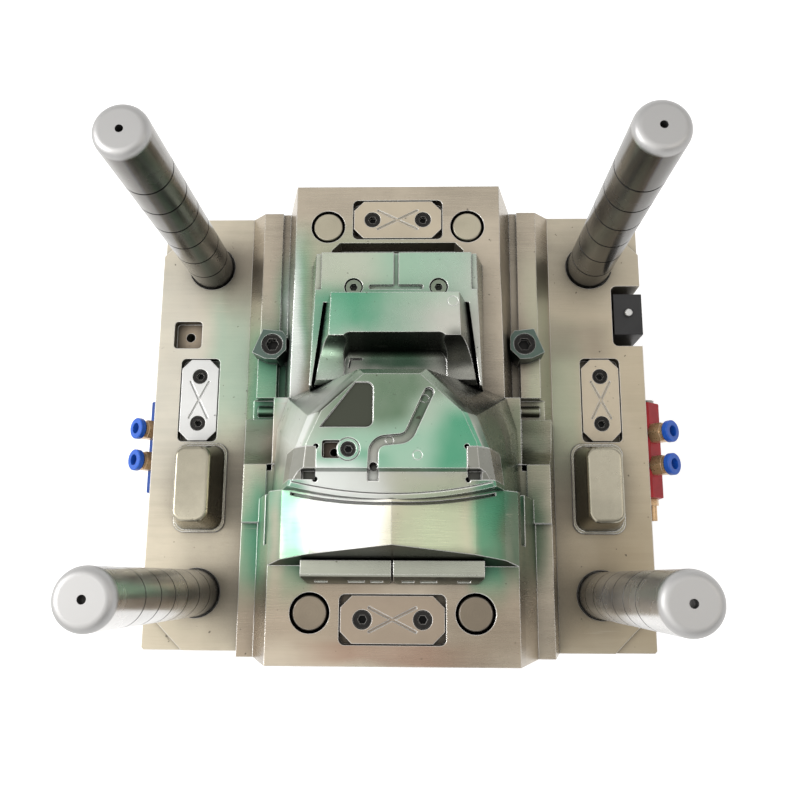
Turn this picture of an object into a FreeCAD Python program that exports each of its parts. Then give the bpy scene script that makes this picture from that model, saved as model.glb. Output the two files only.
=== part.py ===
import FreeCAD, Part
import math
import os

# Moving half of an injection mould, lying on its clamp plate. Lengths are in millimetres.
# The origin is the centre of the clamping face. +Z points from the clamp plate to the parting
# face, +X to the side that carries the cycle counter, and +Y to the low end of the core.

Vec = FreeCAD.Vector

# Plates of the mould base, from the clamping face up
plate_width = 450.0
plate_length = 400.0
clamp_plate_width = 500.0
clamp_plate_thickness = 30.0
spacer_width = 68.0
spacer_height = 130.0
core_plate_thickness = 110.0
plate_chamfer = 2.0
parting_level = clamp_plate_thickness + spacer_height + core_plate_thickness
core_plate_floor = clamp_plate_thickness + spacer_height

# Ejector plates and their stroke
stop_button_height = 5.0
stop_button_radius = 10.0
ejector_base_thickness = 30.0
ejector_retainer_thickness = 20.0
ejector_side_gap = 5.0
ejector_plate_length = 390.0
ejector_stroke = 50.0
knock_out_radius = 20.0
knock_out_thread_radius = 8.75
knock_out_thread_depth = 20.0
ejector_floor = clamp_plate_thickness + stop_button_height
retainer_floor = ejector_floor + ejector_base_thickness
retainer_top = retainer_floor + ejector_retainer_thickness

# Clearances
running_clearance = 0.05
slide_clearance = 0.1
loose_clearance = 0.75
screw_clearance = 0.5
over = 1.0
small_chamfer = 0.8
down = Vec(0, 0, -1)

# Guide pillars with oil grooves
pillar_radius = 20.0
pillar_side_distance = 47.0
pillar_end_distance = 49.0
pillar_x = plate_width / 2 - pillar_side_distance
pillar_y = plate_length / 2 - pillar_end_distance
pillar_height = 260.0
pillar_head_radius = 23.0
pillar_head_height = 10.0
pillar_nose_radius = 6.0
pillar_centre_hole_radius = 2.8
pillar_centre_hole_depth = 8.0
pillar_relief_width = 1.5
pillar_relief_depth = 4.0
oil_groove_pitch = 34.5
oil_groove_first = 30.0
oil_groove_count = 6
oil_groove_width = 1.6
oil_groove_depth = 1.2

# Slot of the core plate and the core block in it; heights are above the parting face
core_slot_half_width = 140.0
core_slot_depth = 60.0
valley_height = 11.0
rail_inner = 109.5
rail_outer = 127.0
rail_height = 14.0
rail_step_height = 22.0
rail_step_end = 58.0
rail_notch_start = 20.0
rail_notch_end = 0.0
rail_notch_height = 9.0
rail_notch_bar_radius = 5.0
ramp_inner = 100.0
ramp_start_height = 24.0
ramp_sag = 10.0
pad_inner = 108.0
pad_start = -45.0
pad_end = -93.0
pad_height = 64.0
low_rail_height = 58.0
low_rail_inner = 110.0

upper_block_height = 70.0
upper_block_half_width = 88.5
upper_block_foot = 105.5
upper_block_front = 124.0
apron_break = 58.0
apron_break_height = 61.0
apron_end_height = 57.0
relief_pocket_back = 147.5
relief_pocket_half_width = 57.0
relief_pocket_depth = 20.0
relief_pocket_chamfer = 7.0

shoulder_height = 62.0
shoulder_half_width = 104.0
shoulder_foot = 112.0
shoulder_back = 12.0
block_overlap = 10.0

lower_block_height = 130.0
lower_block_half_width = 92.6
lower_block_foot = 132.0
arch_end_distance = 71.3
lower_block_back = arch_end_distance - plate_length / 2
arch_ridge_height = 168.0
arch_middle_half_width = 60.0
arch_middle_height = 151.0
arch_side_half_width = 82.0
arch_side_height = 141.0
arch_wall_lean = 0.37
arch_foot = 20.0
side_flute_radius = 9.0
side_flute_height = 112.0
side_flute_distance = 15.7
side_flute_end = lower_block_back + side_flute_distance

# Front edge of the main core insert: an arc between two straight wings
core_front_y = -74.0
core_front_half_width = 75.0
core_front_sag = 9.0
core_front_groove_gap = 2.2
core_front_groove_width = 2.0
core_front_groove_depth = 3.0
front_zone_margin = 10.0
front_zone_back = 60.0
arch_overlap = 24.0

# Main core insert: faceted plateau over a straight tenon
plateau_height = 180.0
plateau_bevel = 10.0
plateau_outline = [(20.0, 4.5), (49.5, -22.6), (59.6, -45.3), (64.0, -95.0)]
bevel_outline = [(24.5, 10.2), (60.3, -24.3), (69.3, -49.1), (77.0, -95.0)]
foot_outline = [(62.0, 24.0), (92.3, 11.2), (100.5, -15.4), (104.0, -95.0)]
front_strip_start = -62.7
front_strip_bevel_width = 2.3
front_strip_bevel_drop = 4.0
front_strip_end_height = 167.0
front_line_inset = 3.2
front_line_width = 0.8
front_line_depth = 1.0
tenon_half_width = 84.0
tenon_back = 8.0
tenon_front = -66.0
tenon_floor = 30.0
tenon_corner = 6.0
recess_outline = [(-50.5, -34.0), (-13.0, -34.0), (-13.0, -1.5), (-26.0, -1.5)]
recess_depth = 1.5
recess_corner = 5.0
pocket_centre = (-41.6, -49.6)
pocket_length = 13.6
pocket_width = 12.6
pocket_depth = 8.0
pocket_hole_offset = (1.0, -1.4)
pocket_hole_radius = 2.75
pocket_corner = 2.0
cap_screw_centre = (-30.1, -49.6)
cap_ring_radius = 8.3
cap_ring_width = 0.7
cap_ring_depth = 0.6
runner_path = [(-12.8, -62.0), (-12.3, -44.0), (11.4, -41.7), (26.2, -9.0)]
runner_bend = 9.0
runner_width = 7.2
runner_depth = 4.0
gate_width = 8.0
gate_end = -71.0
gate_depth = 9.0
gate_pin_drop = 6.0
vent_slit_start = (33.7, 7.5)
vent_slit_end = (39.7, 2.6)
vent_slit_width = 1.6
vent_slit_depth = 18.0

# Upper core insert, a plate with two legs that hold the bridge insert between them
upper_insert_height = 100.0
upper_insert_floor = 45.0
upper_insert_back = 127.0
upper_insert_front = 14.0
upper_insert_half_width = 65.5
upper_insert_front_half_width = 69.5
upper_insert_foot = 73.0
upper_insert_edge_step = 3.5
upper_insert_edge_length = 32.0
vent_width = 4.0
vent_depth = 2.5
vent_line_y = 97.0
vent_line_half_length = 20.5
upper_screw_x = 35.0
upper_screw_y = 97.0
upper_screw_recess_radius = 7.6

# Bridge insert
bridge_height = 128.0
bridge_half_width = 51.5
bridge_back = 83.0
bridge_front = 48.0
bridge_base_half_width = 58.5
bridge_leg_half_width = 66.5
bridge_parting_gap = 1.2
bridge_foot_front = 16.0
bridge_foot_height = 92.0
bridge_hollow_half_width = 41.5
bridge_hollow_setback = 2.5
bridge_hollow_wall_foot = 41.5
bridge_hollow_floor = 95.0
bridge_hollow_corner = 7.0
bridge_slit_path = [(-27.5, 37.0), (-36.5, 37.0), (-38.0, 30.0)]
bridge_slit_width = 1.2
bridge_slit_depth = 3.0
bridge_tenon_floor = 40.0

# Front bars under the arch
front_bar_length = 65.5
front_bar_gap = 1.6
front_bar_height = 15.0
front_bar_back_reach = 3.7
front_bar_top_reach = 7.8
front_bar_foot_reach = 12.8
front_bar_back = lower_block_back + front_bar_back_reach
front_bar_top_front = lower_block_back - front_bar_top_reach
front_bar_foot_front = lower_block_back - front_bar_foot_reach
front_bar_corner = 5.0
front_bar_base = 2.0
front_bar_edge = 1.5
front_bar_inner_corner = 3.0
front_bar_slots = [(6.0, 9.0), (19.5, 12.0), (46.5, 9.5)]
front_bar_slot_level = 4.0
front_bar_slot_height = 3.2
front_bar_slot_depth = 5.0

# Lifters: the head follows the rod's lean, so the slope is also the motion ratio
lifter_slope = 0.14
lifter_head_inner = 52.6
lifter_head_outer = 90.0
lifter_head_back = -47.5
lifter_head_front = -70.0
lifter_head_depth = 40.0
lifter_relief_radius = 1.8
lifter_hook_width = 10.5
lifter_hook_length = 6.5
lifter_hook_depth = 12.0
lifter_rod_radius = 7.0
lifter_rod_offset = 15.4
lifter_shoe_length = 26.0
lifter_shoe_width = 22.0
lifter_shoe_height = 12.0
lifter_guide_length = 44.0
lifter_guide_width = 34.0
lifter_guide_thickness = 10.0
lifter_guide_corner = 5.0
lifter_end_room = 1.0

# Return pins and their springs
return_pin_radius = 12.5
return_pin_x = 60.5
return_pin_end_distance = 37.5
return_pin_y = plate_length / 2 - return_pin_end_distance
return_pin_mouth_radius = 14.75
return_pin_head_radius = 16.0
return_pin_head_height = 8.0
spring_outer_radius = 20.0
spring_wire_width = 6.0
spring_wire_height = 6.5
spring_turns = 6
spring_end_turn = 0.5
spring_pocket_depth = 30.0
spring_pocket_radius = 22.0

# Ejector pins: place, radius and height above the parting face
ejector_pins = [
    ((-1.6, -43.0), 2.75, plateau_height - runner_depth),
    ((23.4, -13.0), 2.75, plateau_height - runner_depth),
    ((-12.6, -61.0), 2.75, plateau_height - gate_depth - gate_pin_drop),
    ((18.2, -53.7), 3.2, plateau_height),
    ((45.5, 75.5), 4.0, bridge_height),
]
ejector_pin_head_rim = 2.5
ejector_pin_head_height = 6.0

# Guide pins of the ejector plates
guide_pin_radius = 10.0
guide_pin_x = 128.0
guide_pin_y = 105.0
guide_pin_seat = 20.0
guide_bush_radius = 15.0
guide_bush_flange_radius = 18.0
guide_bush_flange_height = 6.0

# Support pillars between clamp plate and core plate
support_pillar_radius = 25.0
support_pillar_places = [(0.0, 95.0), (0.0, -115.0), (-78.0, 15.0), (78.0, 15.0)]
support_pillar_clearance = 2.0

# Wear plates with crossed oil grooves
wear_length = 76.0
wear_width = 34.0
wear_thickness = 10.0
wear_corner = 8.5
wear_gap = 1.0
wear_pocket_corner = 4.5
wear_screw_spacing = 44.0
wear_cross_length = 34.0
wear_cross_width = 17.0
wear_cross_line = 1.8
wear_cross_depth = 0.8
wear_side_distance = 40.5
wear_upper_distance = 31.0
wear_lower_distance = 33.0
wear_side_x = plate_width / 2 - wear_side_distance
wear_side_y = 23.0
wear_upper_y = plate_length / 2 - wear_upper_distance
wear_lower_y = wear_lower_distance - plate_length / 2

# Tapered interlock bosses
interlock_side_distance = 46.5
interlock_x = plate_width / 2 - interlock_side_distance
interlock_y = -58.0
interlock_base_x = 46.0
interlock_base_y = 80.0
interlock_height = 35.0
interlock_taper = 5.5
interlock_rim = 2.0
interlock_seat_depth = 8.0
interlock_corner = 10.0
interlock_top_round = 3.5
interlock_screw_spacing = 40.0

# Corner clamps on the rails
clamp_x = 111.5
clamp_y = 65.0
clamp_seat_height = 9.0
clamp_height = 40.0
clamp_outline = [
    (-17.5, -7.5), (-8.5, 14.0), (9.0, 12.0), (12.5, 7.0), (12.5, -5.0), (4.0, -13.5), (-6.0, -13.0),
]

# Cycle counter in its side pocket
counter_pocket_reach = 27.0
counter_pocket_inner = plate_width / 2 - counter_pocket_reach
counter_pocket_y0 = 74.0
counter_pocket_y1 = 132.0
counter_pocket_depth = 40.0
counter_pocket_corner = 5.0
counter_body_gap = 2.0
counter_body_stand_out = 1.0
counter_body_inner = counter_pocket_inner + counter_body_gap
counter_body_outer = plate_width / 2 + counter_body_stand_out
counter_body_y0 = 85.0
counter_body_y1 = 124.0
counter_plunger_distance = 12.0
counter_plunger_x = plate_width / 2 - counter_plunger_distance
counter_plunger_y = 105.5
counter_plunger_radius = 3.5
counter_plunger_stand_out = 4.0
counter_plunger_length = 22.0
counter_bore_depth = 26.0
counter_screw_y = 14.0
counter_screw_depth = 30.0

# Square pocket with a threaded hole on the other side, and the pry slots at the corners
thread_pocket_distance = 27.0
thread_pocket_x = thread_pocket_distance - plate_width / 2
thread_pocket_y = 85.0
thread_pocket_size = 26.0
thread_pocket_depth = 10.0
thread_pocket_corner = 3.5
thread_hole_radius = 4.25
thread_hole_depth = 20.0
pry_slot_leg = 38.0
pry_slot_depth = 5.0
eyebolt_hole_radius = 8.75
eyebolt_hole_depth = 35.0
eyebolt_hole_height = 25.0

# Water manifolds: a side block with a leaning face that carries two push-in fittings
manifold_length = 88.0
manifold_left_y = -15.0
manifold_left_thickness = 16.0
manifold_left_drop = 33.0
manifold_right_y = -20.0
manifold_right_thickness = 18.0
manifold_right_drop = 14.0
manifold_top_strip = 6.0
manifold_height = 34.0
manifold_end_chamfer = 1.5
manifold_screw_offset = 27.0
manifold_screw_drop = 8.0
port_drop = 4.0
port_shift = 1.5
port_depth = 8.0
fitting_elevation = 50.0
fitting_spacing = 30.0
fitting_seat_along = 6.0
fitting_hex_width = 17.0
fitting_hex_height = 11.0
fitting_neck_radius = 8.3
fitting_neck_height = 2.5
fitting_thread_radius = 6.0
fitting_thread_length = 5.0
fitting_bore_radius = 3.5
fitting_sleeve_radius = 6.0
fitting_sleeve_depth = 9.0
hose_radius = 5.1
collar_radius = 10.0
collar_height = 5.0
collar_travel = 1.5
collar_end_gap = 0.5
plug_radius = 6.0
plug_length = 5.0
plug_socket_depth = 3.0
nipple_hex_width = 10.0
nipple_hex_length = 6.0
nipple_radius = 3.8
nipple_length = 20.0
nipple_wall = 1.2

# Socket head cap screws: thread diameter, head diameter and socket width across flats
m4_thread = 4.0
m4_head = 7.0
m4_socket = 3.0
m6_thread = 6.0
m6_head = 10.0
m6_socket = 5.0
m8_thread = 8.0
m8_head = 13.0
m8_socket = 6.0
m10_thread = 10.0
m10_head = 16.0
m10_socket = 8.0
m12_thread = 12.0
m12_head = 18.0
m12_socket = 10.0
m16_thread = 16.0
m16_head = 24.0
m16_socket = 14.0
m4 = (m4_thread, m4_head, m4_socket)
m6 = (m6_thread, m6_head, m6_socket)
m8 = (m8_thread, m8_head, m8_socket)
m10 = (m10_thread, m10_head, m10_socket)
m12 = (m12_thread, m12_head, m12_socket)
m16 = (m16_thread, m16_head, m16_socket)
screw_head_sink = 1.0
clamp_screw = m16
clamp_screw_x = (plate_width - spacer_width) / 2
clamp_screw_y = 110.0
clamp_screw_places = [(clamp_screw_x, -clamp_screw_y), (clamp_screw_x, 0.0), (clamp_screw_x, clamp_screw_y)]
clamp_screw_engagement = 28.0
core_screw_places = [(100.0, -120.0), (122.0, 25.0), (100.0, 120.0)]
core_screw_engagement = 26.0
tenon_screw_places = [(50.0, -5.0), (45.0, -56.0)]
bridge_screw_place = (30.0, 62.0)
ejector_screw_places = [(138.0, -145.0), (110.0, 0.0), (138.0, 145.0)]
core_screw = m16
support_screw = m12
tenon_screw = m12
bridge_screw = m10
upper_screw = m8
plateau_screw = m6
interlock_screw = m10
corner_screw = m12
wear_screw = m8
counter_screw = m4
manifold_screw = m6
ejector_screw = m10
support_screw_engagement = 12.0
insert_screw_engagement = 20.0
upper_screw_engagement = 15.0
interlock_screw_engagement = 16.0
corner_screw_engagement = 10.0
manifold_screw_engagement = 5.0
ejector_screw_engagement = 12.0
wear_screw_shank = 14.0
plateau_screw_shank = 20.0
counter_screw_shank = 20.0
stop_button_places = [(138.0, -178.0), (138.0, 35.0), (138.0, 178.0)]
dowel_radius = 8.0
dowel_side_distance = 18.0
dowel_y = 60.0
dowel_x = plate_width / 2 - dowel_side_distance
dowel_places = [(dowel_x, -dowel_y), (dowel_x, dowel_y)]
dowel_depth = 15.0


def block(x0, x1, y0, y1, z0, z1):
    """Box between two corners."""
    return Part.makeBox(x1 - x0, y1 - y0, z1 - z0, Vec(x0, y0, z0))


def post(x, y, z0, z1, radius):
    """Upright cylinder."""
    return Part.makeCylinder(radius, z1 - z0, Vec(x, y, z0))


def closed_wire(points):
    """Closed polygon through three-dimensional points."""
    corners = [Vec(*point) for point in points]
    return Part.makePolygon(corners + corners[:1])


def prism(outline, z0, z1):
    """Solid over an outline of (x, y) points."""
    face = Part.Face(closed_wire([(x, y, z0) for x, y in outline]))
    return face.extrude(Vec(0, 0, z1 - z0))


def prism_along_y(outline, y0, y1):
    """Solid over an outline of (x, z) points, from y0 to y1."""
    face = Part.Face(closed_wire([(x, y0, z) for x, z in outline]))
    return face.extrude(Vec(0, y1 - y0, 0))


def prism_along_x(outline, x0, x1):
    """Solid over an outline of (y, z) points, from x0 to x1."""
    face = Part.Face(closed_wire([(x0, y, z) for y, z in outline]))
    return face.extrude(Vec(x1 - x0, 0, 0))


def upright_edges(shape):
    """Straight edges of a shape that run along Z."""
    found = []
    for edge in shape.Edges:
        first = edge.Vertexes[0].Point
        last = edge.Vertexes[-1].Point
        if abs(first.x - last.x) < 1e-6 and abs(first.y - last.y) < 1e-6 and abs(first.z - last.z) > 1e-6:
            found.append(edge)
    return found


def rounded_block(x0, x1, y0, y1, z0, z1, radius):
    """Box with rounded upright edges."""
    body = block(x0, x1, y0, y1, z0, z1)
    return body.makeFillet(radius, upright_edges(body))


def top_rim(body, top):
    """Round edges of a body at its top level."""
    rims = [edge for edge in body.Edges if len(edge.Vertexes) == 1]
    return [edge for edge in rims if edge.Vertexes[0].Z > top - small_chamfer]


def mirrored(shape):
    """The same shape on the other side of the plane X = 0."""
    return shape.mirror(Vec(0, 0, 0), Vec(1, 0, 0))


def both_sides(shape):
    """A shape and its mirror image."""
    return [shape, mirrored(shape)]


def hexagon(width, z0, z1):
    """Hexagonal prism about the Z axis, by its width across flats."""
    corner = width / math.sqrt(3)
    angles = [math.radians(60 * k) for k in range(6)]
    return prism([(corner * math.cos(angle), corner * math.sin(angle)) for angle in angles], z0, z1)


def placed(shape, x, y, z, axis=None):
    """Copy of a shape whose origin goes to a point and whose Z axis turns to the given axis."""
    turn = FreeCAD.Rotation(Vec(0, 0, 1), axis) if axis else FreeCAD.Rotation()
    copy = shape.copy()
    copy.Placement = FreeCAD.Placement(Vec(x, y, z), turn).multiply(copy.Placement)
    return copy


def cap_screw(screw, length):
    """Socket head cap screw, head top at the origin and shank along -Z."""
    thread, head_width, socket = screw
    head = Part.makeCylinder(head_width / 2, thread, Vec(0, 0, -thread))
    shank = Part.makeCylinder(thread / 2, length, Vec(0, 0, -thread - length))
    return head.fuse(shank).cut(hexagon(socket, -thread / 2, over)).removeSplitter()


def head_room(screw):
    """Depth from a face to the underside of a cap screw's head, which is as high as its thread is wide."""
    thread, head_width, socket = screw
    return screw_head_sink + thread


def screw_hole(screw, length):
    """Cutter for a cap screw sunk below a face: recess, and hole that the shank fills."""
    thread, head_width, socket = screw
    sink = head_room(screw)
    recess = Part.makeCylinder(head_width / 2 + screw_clearance, sink + over, Vec(0, 0, -sink))
    hole = Part.makeCylinder(thread / 2, length, Vec(0, 0, -sink - length))
    return recess.fuse(hole)


def screws_at(places, z, screw, length, axis=None):
    """Cap screws sunk below a face at each place."""
    sunk = cap_screw(screw, length)
    sunk.translate(Vec(0, 0, -screw_head_sink))
    return [placed(sunk, x, y, z, axis) for x, y in places]


def holes_at(places, z, screw, length, axis=None):
    """Cutters that match screws_at."""
    return [placed(screw_hole(screw, length), x, y, z, axis) for x, y in places]


def mirror_places(places):
    """Places in both halves X < 0 and X > 0."""
    return [(side * x, y) for side in (-1, 1) for x, y in places]


def four_places(x, y):
    """The four places (+-x, +-y)."""
    return [(sx * x, sy * y) for sx in (-1, 1) for sy in (-1, 1)]


def above(height):
    """Level of a height that is measured from the parting face."""
    return parting_level + height


# Outlines that more than one piece shares


def lifter_x(level, x_at_head):
    """X of the lifter's leaning line at a level, from its X at the plateau."""
    return x_at_head + lifter_slope * (above(plateau_height) - level)


def leaning_prism(outline, z0, z1):
    """Solid over an outline given at the plateau, swept along the lifter's lean (side X > 0)."""
    shift = lifter_x(z0, 0)
    face = Part.Face(closed_wire([(x + shift, y, z0) for x, y in outline]))
    return face.extrude(Vec(-lifter_slope * (z1 - z0), 0, z1 - z0))


def leaning_post(x, y, radius, z0, z1):
    """Round post along the lifter's lean from its place at the plateau, cut level at both ends."""
    axis = Vec(-lifter_slope, 0, 1)
    margin = 4 * radius
    start = Vec(lifter_x(z0 - margin, x), y, z0 - margin)
    length = (z1 - z0 + 2 * margin) * axis.Length
    rod = Part.makeCylinder(radius, length, start, axis)
    return rod.common(block(0, plate_width, -plate_length, plate_length, z0, z1))


def leaning_rod(radius, z0, z1):
    """Round post along the lifter's own axis (side X > 0)."""
    return leaning_post(lifter_axis_x, lifter_axis_y, radius, z0, z1)


lifter_axis_x = lifter_head_inner + lifter_rod_offset - lifter_slope * lifter_head_depth
lifter_axis_y = (lifter_head_back + lifter_head_front) / 2


def lifter_head_space(gap):
    """Space of the lifter's head with a gap on its inner, front, back and lower faces."""
    outline = [
        (lifter_head_inner - gap, lifter_head_front - gap),
        (lifter_head_outer, lifter_head_front - gap),
        (lifter_head_outer, lifter_head_back + gap),
        (lifter_head_inner - gap, lifter_head_back + gap),
    ]
    floor = above(plateau_height - lifter_head_depth) - gap
    return leaning_prism(outline, floor, above(plateau_height) + over)


def front_zone():
    """Everything behind the curved front edge of the main core insert."""
    z0 = above(shoulder_height)
    wing = shoulder_foot + front_zone_margin
    back = front_zone_back
    y = core_front_y
    left = Vec(-core_front_half_width, y, z0)
    right = Vec(core_front_half_width, y, z0)
    middle = Vec(0, y - core_front_sag, z0)
    arc = Part.Arc(left, middle, right).toShape()
    corners = [right, Vec(wing, y, z0), Vec(wing, back, z0), Vec(-wing, back, z0), Vec(-wing, y, z0), left]
    rest = Part.makePolygon(corners)
    face = Part.Face(Part.Wire([arc] + rest.Edges))
    return face.extrude(Vec(0, 0, plateau_height))


def front_arc_ring(gap, width):
    """Upright strip along the curved front edge, in front of it or, with a negative gap, behind it."""
    half = core_front_half_width
    radius = (half ** 2 + core_front_sag ** 2) / (2 * core_front_sag)
    centre_y = core_front_y - core_front_sag + radius
    z0 = above(lower_block_height)
    z1 = above(plateau_height)
    inner = radius + gap
    ring = post(0, centre_y, z0, z1, inner + width).cut(post(0, centre_y, z0, z1, inner))
    return ring.common(block(-half, half, -plate_length, 0, z0, z1))


def front_arc_groove():
    """Narrow groove of the arch that follows the curved front edge."""
    below_arch = prism_along_y(arch_outline(-core_front_groove_depth), -plate_length, 0)
    return front_arc_ring(core_front_groove_gap, core_front_groove_width).cut(below_arch)


def arch_outline(offset):
    """Section of the faceted arch, moved up or down."""
    half = [
        (lower_block_half_width, lower_block_height - arch_foot),
        (lower_block_half_width, lower_block_height),
        (arch_side_half_width, arch_side_height),
        (arch_middle_half_width, arch_middle_height),
    ]
    right = [(x, above(z + offset)) for x, z in half]
    left = [(-x, z) for x, z in reversed(right)]
    return right + [(0, above(arch_ridge_height + offset))] + left


def symmetric(half_outline, level):
    """Closed loop of (x, y) points at a level from its right half, listed from back to front."""
    right = [(x, y, level) for x, y in half_outline]
    left = [(-x, y, level) for x, y in reversed(half_outline)]
    return closed_wire(right + left)


def core_hill():
    """Faceted hill of the main core insert before its details are cut."""
    foot = symmetric(foot_outline, above(shoulder_height))
    edge = symmetric(bevel_outline, above(plateau_height - plateau_bevel))
    top = symmetric(plateau_outline, above(plateau_height))
    hill = Part.makeLoft([foot, edge], True, True)
    cap = Part.makeLoft([edge, top], True, True)
    return hill.fuse(cap)


# Mould base


def guide_pillar(x, y):
    """Guide pillar with head, oil grooves, rounded nose and centre hole."""
    z0 = core_plate_floor
    z1 = above(pillar_height)
    r = pillar_radius
    profile = [(0, z0), (pillar_head_radius, z0), (pillar_head_radius, z0 + pillar_head_height)]
    profile.append((r, z0 + pillar_head_height))
    for k in range(oil_groove_count):
        middle = above(oil_groove_first + k * oil_groove_pitch)
        profile.append((r, middle - oil_groove_width / 2))
        profile.append((r - oil_groove_depth, middle))
        profile.append((r, middle + oil_groove_width / 2))
    nose = pillar_nose_radius
    profile.append((r, z1 - nose))
    points = [Vec(radius, 0, z) for radius, z in profile]
    side = Part.makePolygon(points)
    diagonal = nose * math.sqrt(0.5)
    mid = Vec(r - nose + diagonal, 0, z1 - nose + diagonal)
    arc = Part.Arc(points[-1], mid, Vec(r - nose, 0, z1)).toShape()
    top = Part.makePolygon([Vec(r - nose, 0, z1), Vec(0, 0, z1), points[0]])
    face = Part.Face(Part.Wire(side.Edges + [arc] + top.Edges))
    body = face.revolve(Vec(0, 0, 0), Vec(0, 0, 1), 360)
    hole = post(0, 0, z1 - pillar_centre_hole_depth, z1 + over, pillar_centre_hole_radius)
    return placed(body.cut(hole), x, y, 0)


def eight_corners(a, b, c):
    """Outline of a rectangle with half sides a and b and corners cut off by c."""
    right = [(a - c, -b), (a, c - b), (a, b - c), (a - c, b)]
    return right + [(-x, y) for x, y in reversed(right)]


def chamfered_plate(width, length, z0, z1):
    """Plate with chamfered upright corners."""
    return prism(eight_corners(width / 2, length / 2, plate_chamfer), z0, z1)


def clamp_plate():
    body = chamfered_plate(clamp_plate_width, plate_length, 0, clamp_plate_thickness)
    cuts = [post(0, 0, -over, clamp_plate_thickness + over, knock_out_radius)]
    cuts += holes_at(mirror_places(clamp_screw_places), 0, clamp_screw, clamp_screw_length(), down)
    cuts += holes_at(support_pillar_places, 0, support_screw, support_screw_length(), down)
    for x, y in four_places(guide_pin_x, guide_pin_y):
        cuts.append(post(x, y, -over, clamp_plate_thickness + over, guide_pin_radius))
    cuts += dowels()
    return body.cut(cuts)


def clamp_screw_length():
    """Shank from the sunk head to its engagement in the core plate."""
    return core_plate_floor + clamp_screw_engagement - head_room(clamp_screw)


def support_screw_length():
    """Shank from the sunk head into the support pillar."""
    return clamp_plate_thickness + support_screw_engagement - head_room(support_screw)


def dowels():
    z0 = clamp_plate_thickness - dowel_depth
    z1 = core_plate_floor + dowel_depth
    return [post(x, y, z0, z1, dowel_radius) for x, y in mirror_places(dowel_places)]


def spacer_block():
    """Spacer block on the side X > 0."""
    outer = plate_width / 2
    end = plate_length / 2
    body = block(outer - spacer_width, outer, -end, end, clamp_plate_thickness, core_plate_floor)
    return body.cut(holes_at(clamp_screw_places, 0, clamp_screw, clamp_screw_length(), down) + dowels())


def lifter_cuts(body, z0, z1, clearance):
    """Cut both lifter rod bores between two levels."""
    bore = leaning_rod(lifter_rod_radius + clearance, z0, z1)
    return body.cut(both_sides(bore))


def pin_bores(z0, z1, clearance):
    """Bores for the return pins and ejector pins."""
    bores = [post(x, y, z0, z1, radius + clearance) for (x, y), radius, height in ejector_pins]
    for x, y in four_places(return_pin_x, return_pin_y):
        bores.append(post(x, y, z0, z1, return_pin_radius + clearance))
    return bores


def core_screw_length():
    """Shank from the sunk head through the floor of the slot into the core block."""
    floor = core_plate_thickness - core_slot_depth
    return floor + core_screw_engagement - head_room(core_screw)


def core_screw_holes():
    places = mirror_places(core_screw_places)
    return holes_at(places, core_plate_floor, core_screw, core_screw_length(), down)


def interlock_screw_length():
    """Shank from the sunk head through the core plate into the interlock."""
    floor = core_plate_thickness - interlock_seat_depth
    return floor + interlock_screw_engagement - head_room(interlock_screw)


def interlock_screw_places():
    half = interlock_screw_spacing / 2
    return [(interlock_x, interlock_y - half), (interlock_x, interlock_y + half)]


def interlock_screw_holes():
    places = mirror_places(interlock_screw_places())
    return holes_at(places, core_plate_floor, interlock_screw, interlock_screw_length(), down)


def core_plate():
    """Core plate with its slot, pockets and bores."""
    z0 = core_plate_floor
    z1 = parting_level
    body = chamfered_plate(plate_width, plate_length, z0, z1)
    slot = core_slot_half_width
    body = body.cut(block(-slot, slot, -plate_length, plate_length, z1 - core_slot_depth, z1 + over))
    cuts = []
    for x, y in four_places(pillar_x, pillar_y):
        cuts.append(post(x, y, z0 - over, z1 + over, pillar_radius))
        cuts.append(post(x, y, z0 - over, z0 + pillar_head_height, pillar_head_radius))
        cuts.append(post(x, y, z1 - pillar_relief_depth, z1 + over, pillar_radius + pillar_relief_width))
    for x, y in four_places(return_pin_x, return_pin_y):
        cuts.append(post(x, y, z0 - over, z0 + spring_pocket_depth, spring_pocket_radius))
    for x, y in four_places(guide_pin_x, guide_pin_y):
        cuts.append(post(x, y, z0 - over, z0 + guide_pin_seat, guide_pin_radius))
    cuts += pin_bores(z0 - over, z1 - core_slot_depth + over, running_clearance)
    cuts += holes_at(mirror_places(clamp_screw_places), 0, clamp_screw, clamp_screw_length(), down)
    cuts += dowels()
    cuts += core_screw_holes()
    cuts += interlock_screw_holes()
    cuts += both_sides(wear_pocket(wear_side_x, wear_side_y, z1, False))
    cuts += both_sides(interlock_seat())
    cuts += both_sides(lifter_guide_seat())
    cuts.append(counter_pocket())
    cuts += thread_pocket()
    cuts += pry_slots()
    cuts += eyebolt_holes()
    cuts += manifold_screw_holes()
    body = body.cut(cuts)
    return lifter_cuts(body, z0 - over, z1 - core_slot_depth + over, loose_clearance)


def thread_pocket():
    """Square pocket with a threaded hole in its floor."""
    half = thread_pocket_size / 2
    x = thread_pocket_x
    y = thread_pocket_y
    floor = parting_level - thread_pocket_depth
    top = parting_level + over
    pocket = rounded_block(x - half, x + half, y - half, y + half, floor, top, thread_pocket_corner)
    return [pocket, post(x, y, floor - thread_hole_depth, floor + over, thread_hole_radius)]


def pry_slots():
    """Triangular pry slots at the four corners of the parting face."""
    slots = []
    for sx in (-1, 1):
        for sy in (-1, 1):
            x = sx * plate_width / 2
            y = sy * plate_length / 2
            outline = [(x + sx, y + sy), (x - sx * pry_slot_leg, y + sy), (x + sx, y - sy * pry_slot_leg)]
            slots.append(prism(outline, parting_level - pry_slot_depth, parting_level + over))
    return slots


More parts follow.
